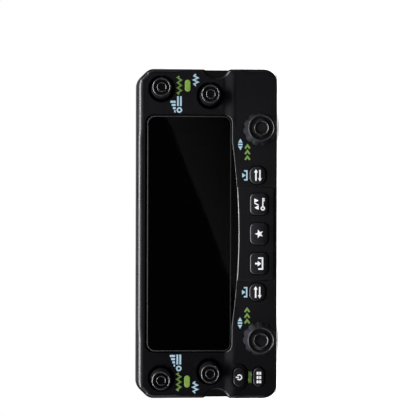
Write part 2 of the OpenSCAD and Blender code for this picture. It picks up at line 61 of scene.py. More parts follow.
def span(node):
    """Width, depth and height of a node's box, in millimetres."""
    low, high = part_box(node)
    return tuple((high - low) / MM)


def front_of(node):
    """How far a node's front stands from the back face, in millimetres."""
    return -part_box(node)[0].y / MM


def back_of(node):
    """How far a node's back stands from the back face, in millimetres."""
    return -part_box(node)[1].y / MM


BODY_W, _, BODY_H = span("rear_shell")
FACE_D = front_of("lens_tape") + 1.4
BAND_D = front_of("key_panel") - 0.15
SPLIT_D = back_of("front_shell")
HALF_W = BODY_W / 2
HALF_H = BODY_H / 2


def add_object(name, data):
    """A new object in the scene."""
    thing = bpy.data.objects.new(name, data)
    bpy.context.scene.collection.objects.link(thing)
    return thing


def add_mesh(name, points, faces, scale=1.0):
    """A new object with a plain mesh, from points in metres or in another unit."""
    mesh = bpy.data.meshes.new(name)
    mesh.from_pydata([tuple(c * scale for c in p) for p in points], [], faces)
    return add_object(name, mesh)


def fill_tree(tree, nodes, wires):
    """Adds nodes to a tree and joins them.

    Each node is a kind, or (kind, values): a key in lower case is a property and any other is an
    input. Each line of wires goes from an output to one or more inputs, by name or number.
    """
    made = {}
    for label, spec in nodes.items():
        kind, values = spec if isinstance(spec, tuple) else (spec, {})
        if kind == "Principled BSDF":
            node = tree.nodes[kind]
        else:
            node = tree.nodes.new(kind if kind.startswith(("Geometry", "NodeGroup")) else "ShaderNode" + kind)
        for key, value in values.items():
            if str(key)[0].islower():
                setattr(node, key, value)
            else:
                node.inputs[key].default_value = value
        made[label] = node

    def socket(side, text):
        label, key = text.strip().split(".")
        return getattr(made[label], side)[int(key) if key.isdigit() else key]

    for line in wires.strip().splitlines():
        start, ends = line.split(" > ")
        for end in ends.split(", "):
            tree.links.new(socket("outputs", start), socket("inputs", end))


def new_group(name, ins, outs, nodes, wires, tree_type="ShaderNodeTree"):
    """A node group with named inputs (name, kind, default) and outputs (name, kind)."""
    group = bpy.data.node_groups.new(name, tree_type)
    for label, kind, value in ins:
        socket = group.interface.new_socket(label, in_out="INPUT", socket_type="NodeSocket" + kind)
        if value is not None:
            socket.default_value = value
    for label, kind in outs:
        group.interface.new_socket(label, in_out="OUTPUT", socket_type="NodeSocket" + kind)
    fill_tree(group, {"given": "NodeGroupInput", "made": "NodeGroupOutput", **nodes}, wires)
    return group


def shaded(name, values, nodes, wires):
    """A material with values for its Principled shader, and the nodes that feed the shader."""
    material = bpy.data.materials.new(name)
    material.use_nodes = True
    fill_tree(material.node_tree, {"shader": ("Principled BSDF", values), **nodes}, wires)
    return material


object_middle = Vector((0, -FACE_D * MM / 2, 0))


def put_light(name, place, size, radiance):
    """A soft rectangular light that faces the object."""
    lamp = bpy.data.lights.new(name, "AREA")
    lamp.shape = "RECTANGLE"
    lamp.size, lamp.size_y = size
    lamp.energy = radiance * math.pi * size[0] * size[1]
    light = add_object(name, lamp)
    light.location = place
    aim = (object_middle - Vector(place)).normalized()
    light.rotation_euler = aim.to_track_quat("-Z", "Y").to_euler()


put_light("overhead_softbox", (0, -0.12, 0.62), (1.1, 0.2), 18.0)
put_light("front_high_softbox", (0, -1.0, 0.75), (0.9, 0.35), 0.5)
put_light("left_strip", (-0.75, -0.45, 0.2), (0.3, 0.6), 2.2)
put_light("right_strip", (0.75, -0.45, 0.2), (0.3, 0.6), 1.0)
put_light("back_softbox", (0.2, 0.9, 0.6), (0.9, 0.5), 0.5)

world = bpy.data.worlds.new("studio_white")
bpy.context.scene.world = world
world.use_nodes = True
world.node_tree.nodes.clear()
fill_tree(
    world.node_tree,
    {
        "wall": ("Background", {"Color": (1, 1, 1, 1), "Strength": 1.0}),
        "fill": ("Background", {"Color": (0.93, 0.96, 1, 1), "Strength": 0.05}),
        "seen": "LightPath",
        "pick": "MixShader",
        "sky": "OutputWorld",
    },
    """
    seen.Is Camera Ray > pick.0
    fill.0 > pick.1
    wall.0 > pick.2
    pick.0 > sky.Surface
    """,
)

# The table glows a little more with distance, so it runs into the white wall with no line
TABLE_REACH = 4.0
table_corners = [(sx * TABLE_REACH, sy * TABLE_REACH, -HALF_H * MM) for sx, sy in ((-1, -1), (1, -1), (1, 1), (-1, 1))]
table_top = add_mesh("table_top", table_corners, [(0, 1, 2, 3)])
table_top.visible_glossy = False
table_top.visible_diffuse = False
table_white = shaded(
    "table_white",
    {"Base Color": (0.86, 0.86, 0.87, 1), "Roughness": 0.9, "Specular IOR Level": 0, "Emission Strength": 1.0},
    {
        "where": "TexCoord",
        "away": ("VectorMath", {"operation": "LENGTH"}),
        "glow": ("MapRange", {"From Min": 0.1, "From Max": 0.8, "To Min": 0.55, "To Max": 1.05}),
    },
    """
    where.Object > away.0
    away.Value > glow.Value
    glow.Result > shader.Emission Color
    """,
)
table_top.data.materials.append(table_white)

camera_data = bpy.data.cameras.new("camera")
camera = add_object("camera", camera_data)
bpy.context.scene.camera = camera
VIEW_WIDTH = 176.4
CAMERA_FAR = 650.0
CAMERA_RISE = math.radians(2.3)
CAMERA_ROLL = math.radians(-0.13)
camera_data.sensor_width = 36
camera_data.lens = 36 * CAMERA_FAR / VIEW_WIDTH
camera_data.clip_start = 0.01
aim_at = Vector((10.9, -BAND_D, -0.7)) * MM
forward = Vector((0, math.cos(CAMERA_RISE), -math.sin(CAMERA_RISE)))
side = forward.cross(Vector((1, 0, 0)))
turn = Matrix.Rotation(CAMERA_ROLL, 3, forward)
side = turn @ side
upward = side.cross(forward)
camera_axes = Matrix((side, upward, -forward)).transposed().to_4x4()
camera.matrix_world = Matrix.Translation(aim_at - forward * CAMERA_FAR * MM) @ camera_axes
bpy.context.scene.view_settings.view_transform = "Standard"
bpy.context.scene.view_settings.look = "None"

# ---- Moulded plastic finish ----
# Most outer pieces are injection moulded in black ABS with a fine etched grain. One shared group
# gives the grain, its patchy sheen and the faint paler line that handling leaves on edges.

moulded = new_group(
    "moulded_skin",
    [
        ("Colour", "Color", (0.02, 0.02, 0.02, 1)),
        ("Roughness", "Float", 0.45),
        ("Grain Scale", "Float", 2600.0),
        ("Grain Depth", "Float", 0.1),
        ("Edge Wear", "Float", 0.3),
    ],
    [("Colour", "Color"), ("Roughness", "Float"), ("Normal", "Vector")],
    {
        "where": "TexCoord",
        "grain": ("TexNoise", {"Detail": 2, "Roughness": 0.6}),
        "patches": ("TexNoise", {"Scale": 55, "Detail": 4}),
        "bump": ("Bump", {"Distance": 0.0001}),
        "sheen": ("MapRange", {"From Min": 0.3, "From Max": 0.7, "To Min": -0.045, "To Max": 0.045}),
        "rough": ("Math", {"operation": "ADD"}),
        "edge": "NewGeometry",
        "edge_range": ("MapRange", {"From Min": 0.53, "From Max": 0.64}),
        "edge_amount": ("Math", {"operation": "MULTIPLY"}),
        "edge_broken": ("Math", {"operation": "MULTIPLY"}),
        "tint": ("Mix", {"data_type": "RGBA", "B": (0.12, 0.12, 0.13, 1)}),
        "mottle": ("Mix", {"data_type": "RGBA", "blend_type": "MULTIPLY", "Factor": 1}),
        "mottle_range": ("MapRange", {"To Min": 0.86, "To Max": 1.14}),
    },
    """
    where.Object > grain.Vector, patches.Vector
    given.Grain Scale > grain.Scale
    grain.Fac > bump.Height
    given.Grain Depth > bump.Strength
    patches.Fac > sheen.Value, edge_broken.1, mottle_range.Value
    sheen.Result > rough.0
    given.Roughness > rough.1
    edge.Pointiness > edge_range.Value
    edge_range.Result > edge_amount.0
    given.Edge Wear > edge_amount.1
    edge_amount.0 > edge_broken.0
    given.Colour > mottle.A
    mottle_range.Result > mottle.B
    mottle.Result > tint.A
    edge_broken.0 > tint.Factor
    tint.Result > made.Colour
    rough.0 > made.Roughness
    bump.Normal > made.Normal
    """,
)


def moulded_plastic(name, colour, roughness, grain_depth, wear, specular=0.5, coat=0.0):
    skin = {"node_tree": moulded, "Colour": (*colour, 1), "Roughness": roughness, "Grain Depth": grain_depth,
            "Edge Wear": wear}
    return shaded(
        name,
        {"Specular IOR Level": specular, "Coat Weight": coat, "Coat Roughness": 0.2},
        {"skin": ("Group", skin)},
        """
        skin.Colour > shader.Base Color
        skin.Roughness > shader.Roughness
        skin.Normal > shader.Normal
        """,
    )


# ---- Front shell ----
# One deep moulding in black ABS: a flat upper face, a slope down to the raised key band, a wide
# soft edge along the top, round wells for the small knobs and a finger scoop in each end.

SLOPE_TOP = -6.5
SLOPE_LOW = -13.0
WALL = 2.0
INNER_D = FACE_D - 2.6
CHAMBER_D = BAND_D - 2.6
LEDGE_D = back_of("lens_tape")
POCKET_D = back_of("key_panel")
CORNER_CUT = 5.45
CORNER_R = 5.3
FOOT_R = 5.8
SCOOP_Z = -4.5
SCOOP_BITE = 3.4
SCOOP_R = 5.3
SCOOP_BLEND = 1.4
SCOOP_FLOOR = FACE_D - 5.0
SMILE_R = 287.0
LENS_HALF = 50.4
LENS_TOP = 25.8
LENS_LOW = -10.9
LENS_R = 3.4
SMILE_Z = -13.6
PANEL_HALF = 20.0
WELL_R = 5.4
NECK_R = 3.5
KEY_GAP = 0.2


def face_depth(x, z):
    """Front surface of the shell at height z: the upper face, the slope and the key band."""
    t = min(max((SLOPE_TOP - z) / (SLOPE_TOP - SLOPE_LOW), 0), 1)
    return FACE_D + (BAND_D - FACE_D) * (1 - math.cos(math.pi * t)) / 2


def arc(centre, r, start, stop, steps):
    """Points round a centre in (x, z), from one angle in degrees to another."""
    angles = np.radians(np.linspace(start, stop, steps + 1))
    return [(centre[0] + r * math.cos(a), centre[1] + r * math.sin(a)) for a in angles]


def circle(centre, steps=72):
    """A ring that can be drawn larger: circle(c)(r) is the ring of radius r."""
    return lambda r: arc(centre, r, 0, 360, steps)[:-1]


def round_box(centre, size, r):
    """A round-cornered rectangle that can be drawn larger by a margin."""

    def ring(margin):
        w = size[0] / 2 - r
        h = size[1] / 2 - r
        points = []
        for k, (sx, sz) in enumerate([(1, 1), (-1, 1), (-1, -1), (1, -1)]):
            corner = (centre[0] + sx * w, centre[1] + sz * h)
            points += arc(corner, r + margin, 90 * k, 90 * k + 90, 10)
        return points

    return ring


def oval(centre, size):
    """A long oval with half-round ends that can be drawn larger by a margin."""
    return round_box(centre, (size[0], size[1] - 0.002), size[1] / 2 - 0.001)


def split_long(points, most):
    """The same closed outline, with points added along its straight runs."""
    out = []
    for a, b in zip(points, points[1:] + points[:1]):
        n = max(1, math.ceil(math.dist(a, b) / most))
        out += [(a[0] + (b[0] - a[0]) * i / n, a[1] + (b[1] - a[1]) * i / n) for i in range(n)]
    return out


def crossings(points, loops):
    """For each point, whether it lies inside an odd number of the closed loops."""
    p = np.asarray(points, float)
    inside = np.zeros(len(p), bool)
    for loop in loops:
        a = np.asarray(loop, float)
        b = np.roll(a, -1, axis=0)
        for (ax, az), (bx, bz) in zip(a, b):
            if az != bz:
                over = (az > p[:, 1]) != (bz > p[:, 1])
                inside ^= over & (p[:, 0] < (bx - ax) * (p[:, 1] - az) / (bz - az) + ax)
    return inside


class Skin:
    """A surface built from rings of (x, z) points at depths counted forward from the back face."""

    def __init__(self):
        self.points = []
        self.faces = []
        self.finish = 0
        self.finishes = []

    def add(self, faces):
        self.faces += faces
        self.finishes += [self.finish] * len(faces)

    def ring(self, outline, depth):
        start = len(self.points)
        for x, z in outline:
            d = depth(x, z) if callable(depth) else depth
            self.points.append((x, -d, z))
        return list(range(start, len(self.points)))

    def bridge(self, a, b):
        n = len(a)
        self.add([(a[i], a[(i + 1) % n], b[(i + 1) % n], b[i]) for i in range(n)])

    def loft(self, outline, steps):
        """Joins rings of one outline, each step a (margin, depth)."""
        rings = [self.ring(outline(margin), depth) for margin, depth in steps]
        for a, b in zip(rings, rings[1:]):
            self.bridge(a, b)
        return rings

    def cap(self, outer, holes, depth, grid=()):
        """Fills the area inside outer and outside the holes, with extra points where it curves."""
        loops = [outer, *holes]
        points, edges = [], []
        for loop in loops:
            start = len(points)
            points += loop
            edges += [(start + i, start + (i + 1) % len(loop)) for i in range(len(loop))]
        if len(grid):
            grid = np.asarray(grid, float)
            grid = grid[crossings(grid, loops)]
            rim = np.asarray(points, float)
            near = np.array([np.min(np.hypot(*(rim - g).T)) for g in grid])
            points = points + [tuple(g) for g in grid[near > 0.45]]
        flat = [Vector(p) for p in points]
        spots, _, triangles, sources, _, _ = delaunay_2d_cdt(flat, edges, [], 2, 1e-7)
        spots = [points[s[0]] if s else tuple(v) for v, s in zip(spots, sources)]
        centres = [np.mean([spots[i] for i in t], axis=0) for t in triangles]
        in_hole = crossings(centres, holes) if holes else [False] * len(triangles)
        ids = self.ring(spots, depth)
        self.add([tuple(ids[i] for i in t) for t, skip in zip(triangles, in_hole) if not skip])

    def fan(self, ring, centre, depth):
        tip = self.ring([centre], depth)[0]
        n = len(ring)
        self.add([(ring[i], ring[(i + 1) % n], tip) for i in range(n)])

    def build(self, name, *materials, smooth=38, weighted=True):
        """The finished closed mesh, in metres, with doubles merged and faces turned outwards."""
        piece = add_mesh(name, self.points, self.faces, MM)
        piece.data.polygons.foreach_set("material_index", self.finishes)
        return finish_mesh(piece, materials, smooth, weighted)


MERGE = 2e-6


def finish_mesh(piece, materials, smooth, weighted=True):
    """Merges doubles, turns faces outwards, smooths all but sharp edges and sets the materials."""
    mesh = piece.data
    work = bmesh.new()
    work.from_mesh(mesh)
    bmesh.ops.remove_doubles(work, verts=work.verts, dist=MERGE)
    bmesh.ops.dissolve_degenerate(work, edges=work.edges, dist=1e-7)
    bmesh.ops.recalc_face_normals(work, faces=work.faces)
    work.to_mesh(mesh)
    work.free()
    while len(mesh.materials) > len(materials):
        mesh.materials.pop()
    for i, material in enumerate(materials):
        if i < len(mesh.materials):
            mesh.materials[i] = material
        else:
            mesh.materials.append(material)
    mesh.shade_smooth()
    mesh.set_sharp_from_angle(angle=math.radians(smooth))
    if weighted:
        level = piece.modifiers.new("even_shading", "WEIGHTED_NORMAL")
        level.keep_sharp = True
        level.weight = 80
        bake_modifiers(piece)
    return piece


def bake_modifiers(piece):
    """Turns a piece and its live modifiers into one plain mesh."""
    bpy.context.view_layer.update()
    seen_now = piece.evaluated_get(bpy.context.evaluated_depsgraph_get())
    mesh = bpy.data.meshes.new_from_object(seen_now)
    piece.modifiers.clear()
    piece.data = mesh
    return piece


def lowered(surface, by):
    """A depth, or a depth that varies over the face, set back by a distance."""
    return (lambda x, z: surface(x, z) - by) if callable(surface) else surface - by


def hole_lip(r, surface, gap=0.0, steps=5, way=1):
    """Steps that round the rim of a hole: out on the surface, over the edge and down its wall."""
    angles = [math.pi / 2 * i / steps for i in range(steps + 1)]
    return [(gap + way * r * (1 - math.sin(a)), lowered(surface, r * (1 - math.cos(a)))) for a in angles]


def edge_lip(r, top, gap=0.0, steps=5):
    """Steps that round the outer edge of a raised piece, from its top down its side."""
    return hole_lip(r, top, gap, steps, -1)


def closed(ring, steps):
    """A skin of one outline lofted through its steps, with its first and last ring filled."""
    skin = Skin()
    skin.loft(ring, steps)
    for margin, depth in (steps[0], steps[-1]):
        skin.cap(ring(margin), [], depth)
    return skin


def smile(x, margin=0.0):
    """Height of the curved lower edge of the window at x."""
    return SMILE_Z + SMILE_R - math.sqrt((SMILE_R + margin) ** 2 - x * x)


def smile_reach(margin):
    """How far from the middle the curved lower edge meets the straight one."""
    return math.sqrt((SMILE_R + margin) ** 2 - (SMILE_R + SMILE_Z - LENS_LOW + margin) ** 2)


def window_ring(margin):
    """The window outline with its curved lower edge, drawn larger by a margin."""
    reach = smile_reach(margin)
    w = LENS_HALF - LENS_R
    h = LENS_TOP - LENS_R
    r = LENS_R + margin
    low = [(x, smile(x, margin)) for x in np.linspace(-reach, reach, 61)]
    points = arc((-w, LENS_LOW + LENS_R), r, 180, 270, 10) + low
    points += arc((w, LENS_LOW + LENS_R), r, 270, 360, 10)
    points += arc((w, h), r, 0, 90, 10)
    points += arc((-w, h), r, 90, 180, 10)
    return points


def panel_ring(margin):
    """The middle key panel: straight sides and foot, and a top that follows the window."""
    half = PANEL_HALF + margin
    foot = 1 - HALF_H - margin
    low = [(x, foot) for x in np.linspace(-half, half, 21)]
    return low + [(x, smile(x, -margin)) for x in np.linspace(half, -half, 21)]


def scoop_side():
    """One finger scoop in the right-hand end, as arcs from below to above."""
    centre = (HALF_W - SCOOP_BITE + SCOOP_R, SCOOP_Z)
    side_x = HALF_W - SCOOP_BLEND
    dx = centre[0] - side_x
    dz = math.sqrt((SCOOP_R + SCOOP_BLEND) ** 2 - dx * dx)
    lean = math.degrees(math.atan2(dz, dx))
    return [
        ((side_x, SCOOP_Z - dz), SCOOP_BLEND, 0, lean, 8, 1),
        (centre, SCOOP_R, 180 + lean, 180 - lean, 22, -1),
        ((side_x, SCOOP_Z + dz), SCOOP_BLEND, -lean, 0, 8, 1),
    ]


def case_outline():
    """The case outline with its scoops: points, outward normals and whether each is on a scoop."""
    t = CORNER_R * math.tan(math.pi / 8)
    parts = [((HALF_W - FOOT_R, FOOT_R - HALF_H), FOOT_R, -90, 0, 12, 1)]
    parts += scoop_side()
    parts.append(((HALF_W - CORNER_R, HALF_H - CORNER_CUT - t), CORNER_R, 0, 45, 8, 1))
    parts.append(((HALF_W - CORNER_CUT - t, HALF_H - CORNER_R), CORNER_R, 45, 90, 8, 1))
    right = []
    for k, (centre, radius, start, stop, steps, way) in enumerate(parts):
        for x, z in arc(centre, radius, start, stop, steps):
            normal = (way * (x - centre[0]) / radius, way * (z - centre[1]) / radius)
            right.append((x, z, *normal, 1.0 if 1 <= k <= 3 else 0.0))
    left = [(-x, z, -nx, nz, on) for x, z, nx, nz, on in reversed(right)]
    whole = []
    for a, b in zip(right + left, right[1:] + left + right[:1]):
        n = max(1, math.ceil(math.dist(a[:2], b[:2]) / 2.5))
        whole += [tuple(p + (q - p) * i / n for p, q in zip(a, b)) for i in range(n)]
    return np.array(whole)


def edge_width(outline):
    """Width of the soft front edge: widest along the top beside the window, narrow at the foot."""
    up = outline[:, 3]
    ends = np.clip((np.abs(outline[:, 0]) - 40) / 4, 0, 1)
    plain = 1.9 + (1.3 + 0.45 * ends) * np.clip(up, 0, 1) ** 2 - 1.35 * np.clip(-up, 0, 1) ** 2
    return np.where(outline[:, 4] > 0.5, 1.2, plain)


def hand_over(piece, body, slot, *nodes):
    """Fixes a finished piece to its body and stands it in for its CAD nodes; the finish name it is given is not used.
    """
    if nodes:
        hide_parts(*nodes)
    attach(piece, body)


front_black = moulded_plastic("front_black_abs", (0.0036, 0.0034, 0.0062), 0.31, 0.12, 0.35)
# The knob wells' walls, ledges and necks and the power key's collar use a near-black matt copy of the plastic: painted
# shade, darker than the moulding they belong to.
recess_painted_shade = moulded_plastic("well_painted_shade_abs", (0.0012, 0.0012, 0.0014), 0.75, 0.1, 0.0, 0.1)

front = Skin()
outline = case_outline()
on_scoop = outline[:, 4] > 0.5
width = edge_width(outline)
drop = np.where(on_scoop, 1.6, width * (0.8 + 0.7 * np.clip(outline[:, 3], 0, 1) ** 2))
edge_rings = []
EDGE_STEPS = 10
for i in range(EDGE_STEPS + 1):
    a = math.pi / 2 * i / EDGE_STEPS
    x = outline[:, 0] - outline[:, 2] * width * (1 - math.cos(a))
    z = outline[:, 1] - outline[:, 3] * width * (1 - math.cos(a))
    edge_rings.append(front.ring(list(zip(x, z)), 0))
    for k, b in zip(edge_rings[-1], drop):
        u, _, v = front.points[k]
        front.points[k] = (u, b * (1 - math.sin(a)) - face_depth(u, v), v)
rim = list(zip(x, z))
sign = np.sign(outline[:, 0])
full = np.stack([np.where(on_scoop, sign * HALF_W, outline[:, 0]), outline[:, 1]], axis=1)
inward = np.where(on_scoop[:, None], np.stack([sign, 0 * sign], axis=1), outline[:, 2:4])
groove = [tuple(v) for v in full - 0.3 * inward]
shelf = [tuple(v) for v in full - 0.4 * inward * on_scoop[:, None]]
full = [tuple(v) for v in full]
below = [(groove, SPLIT_D), (full, SPLIT_D + 0.35), (full, SCOOP_FLOOR - 0.4), (shelf, SCOOP_FLOOR),
         ([tuple(v) for v in outline[:, :2]], SCOOP_FLOOR)]
rings = [front.ring(*level) for level in below] + edge_rings
for a, b in zip(rings, rings[1:]):
    front.bridge(a, b)

small_knob_places = [middle(f"{kind}_knob_{end}") for kind in ("volume", "squelch") for end in ENDS]
dial_places = [middle(f"dial_cap_{end}") for end in ENDS]
lamp_places = [middle(f"indicator_{end}") for end in ENDS]
LAMP_SIZE = (4.9, 2.2)
side_key_rings = [round_box(middle(f"key_swap_{end}"), (7.4, 7.0), 2.9) for end in ENDS]
power_ring = oval(middle("key_power"), (8.2, 4.9))
collar_ring = oval(middle("key_power"), (10.6, 6.4))
function_ring = oval(middle("key_function"), (8.1, 4.7))
middle_key_rings = [round_box(middle(name), (9.1, 7.8), 2.1) for name in ("key_store", "key_star", "key_level")]

openings = []
inner_openings = []
chamber_openings = []


def cut_hole(ring, gap, lip, back, through):
    """A hole in the face with a round lip, down to a depth. Its outlines are kept for the caps."""
    front.loft(ring, hole_lip(lip, face_depth, gap) + [(gap, back)])
    openings.append(ring(gap + lip))
    through.append(ring(gap))


for centre in small_knob_places:
    hole = circle(centre)
    front.loft(hole, hole_lip(0.55, face_depth, WELL_R))
    # The well's wall, ledge and neck take the painted-shade copy.
    front.finish = 1
    front.loft(hole, [(WELL_R, lowered(face_depth, 0.55)), (WELL_R, LEDGE_D)])
    front.cap(hole(WELL_R), [hole(NECK_R)], LEDGE_D)
    front.loft(hole, [(NECK_R, LEDGE_D), (NECK_R, INNER_D)])
    front.finish = 0
    openings.append(hole(WELL_R + 0.55))
    inner_openings.append(hole(NECK_R))
for centre in dial_places:
    cut_hole(circle(centre), NECK_R, 0.25, CHAMBER_D, chamber_openings)
for ring in side_key_rings + [function_ring]:
    cut_hole(ring, KEY_GAP, 0.3, CHAMBER_D, chamber_openings)
for centre in lamp_places:
    cut_hole(oval(centre, LAMP_SIZE), 0.1, 0.2, INNER_D, inner_openings)

# The power key's oval collar rises from the band with a small fillet at its foot
COLLAR_D = BAND_D + 0.5
foot = [(0.45 - 0.15 * i, lambda x, z, k=i: face_depth(x, z) + 0.03 * k * k) for i in range(4)]
# The collar's side and rounded lip take the painted-shade copy, which keeps their lit upper edge dark.
front.finish = 1
front.loft(collar_ring, foot + edge_lip(0.25, COLLAR_D)[::-1])
front.finish = 0
front.loft(power_ring, hole_lip(0.25, COLLAR_D, KEY_GAP) + [(KEY_GAP, CHAMBER_D)])
front.cap(collar_ring(-0.25), [power_ring(KEY_GAP + 0.25)], COLLAR_D)
openings.append(collar_ring(0.45))
chamber_openings.append(power_ring(KEY_GAP))

# One opening holds the window and the key panel; under the window it is deeper
LIP = 0.3
smile_points = [(x, smile(x)) for x in np.linspace(-PANEL_HALF, PANEL_HALF, 21)]


def recess_ring(margin):
    """The window and panel openings as one outline, drawn larger by a margin."""
    window = window_ring(margin)
    half = PANEL_HALF + margin
    foot = 1 - HALF_H - margin
    right = [p for p in window if not (abs(p[0]) < half + 0.3 and p[1] < LENS_LOW)]
    start = next(i for i, p in enumerate(right) if p[0] > half and p[1] < LENS_LOW + 0.5)
    around = right[start:] + right[:start]
    sides = np.linspace(foot, smile(PANEL_HALF, margin), 9)[1:-1]
    down = [(-half, z) for z in reversed(sides)]
    up = [(half, z) for z in sides]
    low = [(x, foot) for x in np.linspace(-half, half, 17)]
    join = smile(PANEL_HALF, margin)
    return around + [(-half, join)] + down + low + up + [(half, join)]


front.loft(recess_ring, hole_lip(LIP, face_depth) + [(0.0, POCKET_D)])
openings.append(recess_ring(LIP))
recess = recess_ring(0.0)
joint_a = recess.index(next(p for p in recess if abs(p[0] + PANEL_HALF) < 1e-9))
joint_b = len(recess) - 1
panel_loop = recess[joint_a:] + smile_points[1:-1][::-1]
window_loop = recess[: joint_a + 1] + smile_points[1:-1] + [recess[joint_b]]
keys_through = [ring(KEY_GAP) for ring in middle_key_rings]
front.cap(panel_loop, keys_through, POCKET_D)
for ring in middle_key_rings:
    front.loft(ring, [(KEY_GAP, POCKET_D), (KEY_GAP, CHAMBER_D)])
    chamber_openings.append(ring(KEY_GAP))
window_walls = [front.ring(window_loop, d) for d in (POCKET_D, LEDGE_D)]
front.bridge(*window_walls)
view = round_box((0, (23.4 - 8.6) / 2), (96.4, 32.0), 0.4)
front.cap(window_loop, [view(0)], LEDGE_D)
front.loft(view, [(0, LEDGE_D), (0, INNER_D)])
inner_openings.append(view(0))

slope_grid = [(x, z) for x in np.arange(-68, 68.1, 2.5) for z in np.arange(SLOPE_LOW - 1, SLOPE_TOP + 1, 0.5)]
plain_grid = [(x, z) for x in np.arange(-66, 66.1, 6) for z in [*np.arange(-27, -15, 4), *np.arange(-2, 25, 5)]]
front.cap(rim, openings, face_depth, slope_grid + plain_grid)

# Behind the face: the chamber over the keys, the inner wall and the rim that meets the rear shell
chamber = [(-63.5, -27.5), (63.5, -27.5), (66.5, -24.5), (66.5, -15), (-53.5, -15), (-53.5, -10.2), (-64.5, -10.2),
           (-64.5, -11.4), (-66.5, -11.4), (-66.5, -24.5)]
chamber = split_long(chamber, 3.0)
front.cap(chamber, chamber_openings, CHAMBER_D)
front.bridge(front.ring(chamber, CHAMBER_D), front.ring(chamber, INNER_D))
t = (CORNER_R - WALL) * math.tan(math.pi / 8)
in_w, in_h = HALF_W - WALL, HALF_H - WALL
in_cut = CORNER_CUT - 0.586 * WALL
notch = HALF_W - 5.4
inner_right = [(in_w - 3, -in_h), (in_w, -in_h + 3), (in_w, SCOOP_Z - 6.8), (notch, SCOOP_Z - 6.8)]
inner_right += [(notch, SCOOP_Z + 7.3), (in_w, SCOOP_Z + 7.3), (in_w, in_h - in_cut), (in_w - in_cut, in_h)]
inner = split_long(inner_right + [(-x, z) for x, z in reversed(inner_right)], 3.0)
front.cap(inner, inner_openings + [chamber], INNER_D)
front.bridge(front.ring(inner, INNER_D), front.ring(inner, SPLIT_D))
front.cap(groove, [inner], SPLIT_D)
front_shell = front.build("front_shell_moulding", front_black, recess_painted_shade)
hand_over(front_shell, "root", "front_case", "front_shell")

# ---- Rear shell ----
# The back half of the case, in slightly duller ABS: a plain tray with a chamfered back edge. It
# is a cleaned copy of the solid with its edges broken, closed by four screws from behind.


def softened(node, name, material, width):
    """A merged copy of a CAD node with its sharp edges rounded."""
    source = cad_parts[node]
    mesh = source.data.copy()
    mesh.transform(source.matrix_world)
    piece = add_object(name, mesh)
    finish_mesh(piece, [material], 30, False)
    rounding = piece.modifiers.new("broken_edges", "BEVEL")
    rounding.width = width * MM
    rounding.segments = 3
    rounding.limit_method = "ANGLE"
    rounding.angle_limit = math.radians(35)
    bake_modifiers(piece)
    return finish_mesh(piece, [material], 40)


rear_black = moulded_plastic("rear_black_abs", (0.0055, 0.0053, 0.0072), 0.5, 0.2, 0.0)
rear_shell = softened("rear_shell", "rear_shell_moulding", rear_black, 0.22)
hand_over(rear_shell, "root", "rear_case", "rear_shell")

# ---- Key panel ----
# A separate moulded plate dropped into the middle of the key band. Its upper edge follows the curved foot of the
# window; along the top of the curve it is glossier and painted paler, a painted highlight where it catches the light.
# Three keys stand through it.

PANEL_D = BAND_D + 0.15
PANEL_GAP = -0.12
panel_grey = moulded_plastic("panel_dark_abs", (0.0072, 0.0068, 0.0100), 0.36, 0.12, 0.5)
# The edge copy is glossier and painted about five times paler than the plate: real gloss plus a painted highlight.
panel_edge_painted_highlight = moulded_plastic("panel_gloss_and_painted_highlight", (0.035, 0.035, 0.042), 0.36, 0.04, 0.0, 1.0, 1.0)
panel = Skin()
panel.finish = 1
panel.loft(panel_ring, edge_lip(0.5, PANEL_D, PANEL_GAP, 6))
panel.finish = 0
panel.loft(panel_ring, [(PANEL_GAP, PANEL_D - 0.5), (PANEL_GAP, POCKET_D)])
key_rims = []
for ring in middle_key_rings:
    panel.loft(ring, hole_lip(0.25, PANEL_D, KEY_GAP) + [(KEY_GAP, POCKET_D)])
    key_rims.append(ring(KEY_GAP + 0.25))
panel.cap(panel_ring(PANEL_GAP - 0.5), key_rims, PANEL_D)
panel.cap(panel_ring(PANEL_GAP), [ring(KEY_GAP) for ring in middle_key_rings], POCKET_D)
plate = panel.build("key_panel_plate", panel_grey, panel_edge_painted_highlight)
# Only the upper edge along the top of the curve keeps the paler painted highlight.
for face in plate.data.polygons:
    if face.center.z / MM < SMILE_Z - 0.9 or abs(face.center.x / MM) > PANEL_HALF - 0.3:
        face.material_index = 0
hand_over(plate, "root", "panel_case", "key_panel")

# ---- Window lens and film ----
# The lens is smoked acrylic, polished and black when the display is off, with a dark red cast at its rim.
# A clear film lies on it; its cut edge is a thin band painted paler, a painted highlight for the light the edge
# catches.

smoked = shaded(
    "smoked_acrylic",
    {"Roughness": 0.03, "Specular IOR Level": 0.05},
    {
        "where": "TexCoord",
        "split": "SeparateXYZ",
        "rim": ("MapRange", {"From Min": -0.0095, "From Max": -0.0125}),
        "ramp": ("Mix", {"data_type": "RGBA", "A": (0.0002, 0.0002, 0.0002, 1), "B": (0.0012, 0.0002, 0.0002, 1)}),
    },
    """
    where.Object > split.0
    split.Z > rim.Value
    rim.Result > ramp.Factor
    ramp.Result > shader.Base Color
    """,
)
LENS_GAP = -0.15
LENS_D = front_of("window_lens")
lens = closed(window_ring, edge_lip(0.12, LENS_D, LENS_GAP, 3) + [(LENS_GAP, back_of("window_lens"))])
hand_over(lens.build("window_lens_acrylic", smoked), "root", "lens", "window_lens")


def clear_film(name, tint, alpha):
    return shaded(
        name,
        {"Base Color": tint, "Roughness": 0.25, "Specular IOR Level": 0.2},
        {
            "where": "TexCoord",
            "scratches": ("TexNoise", {"Scale": 400}),
            "spread": ("MapRange", {"To Min": alpha * 0.7, "To Max": alpha * 1.3}),
        },
        """
        where.Object > scratches.Vector
        scratches.Fac > spread.Value
        spread.Result > shader.Alpha
        """,
    )


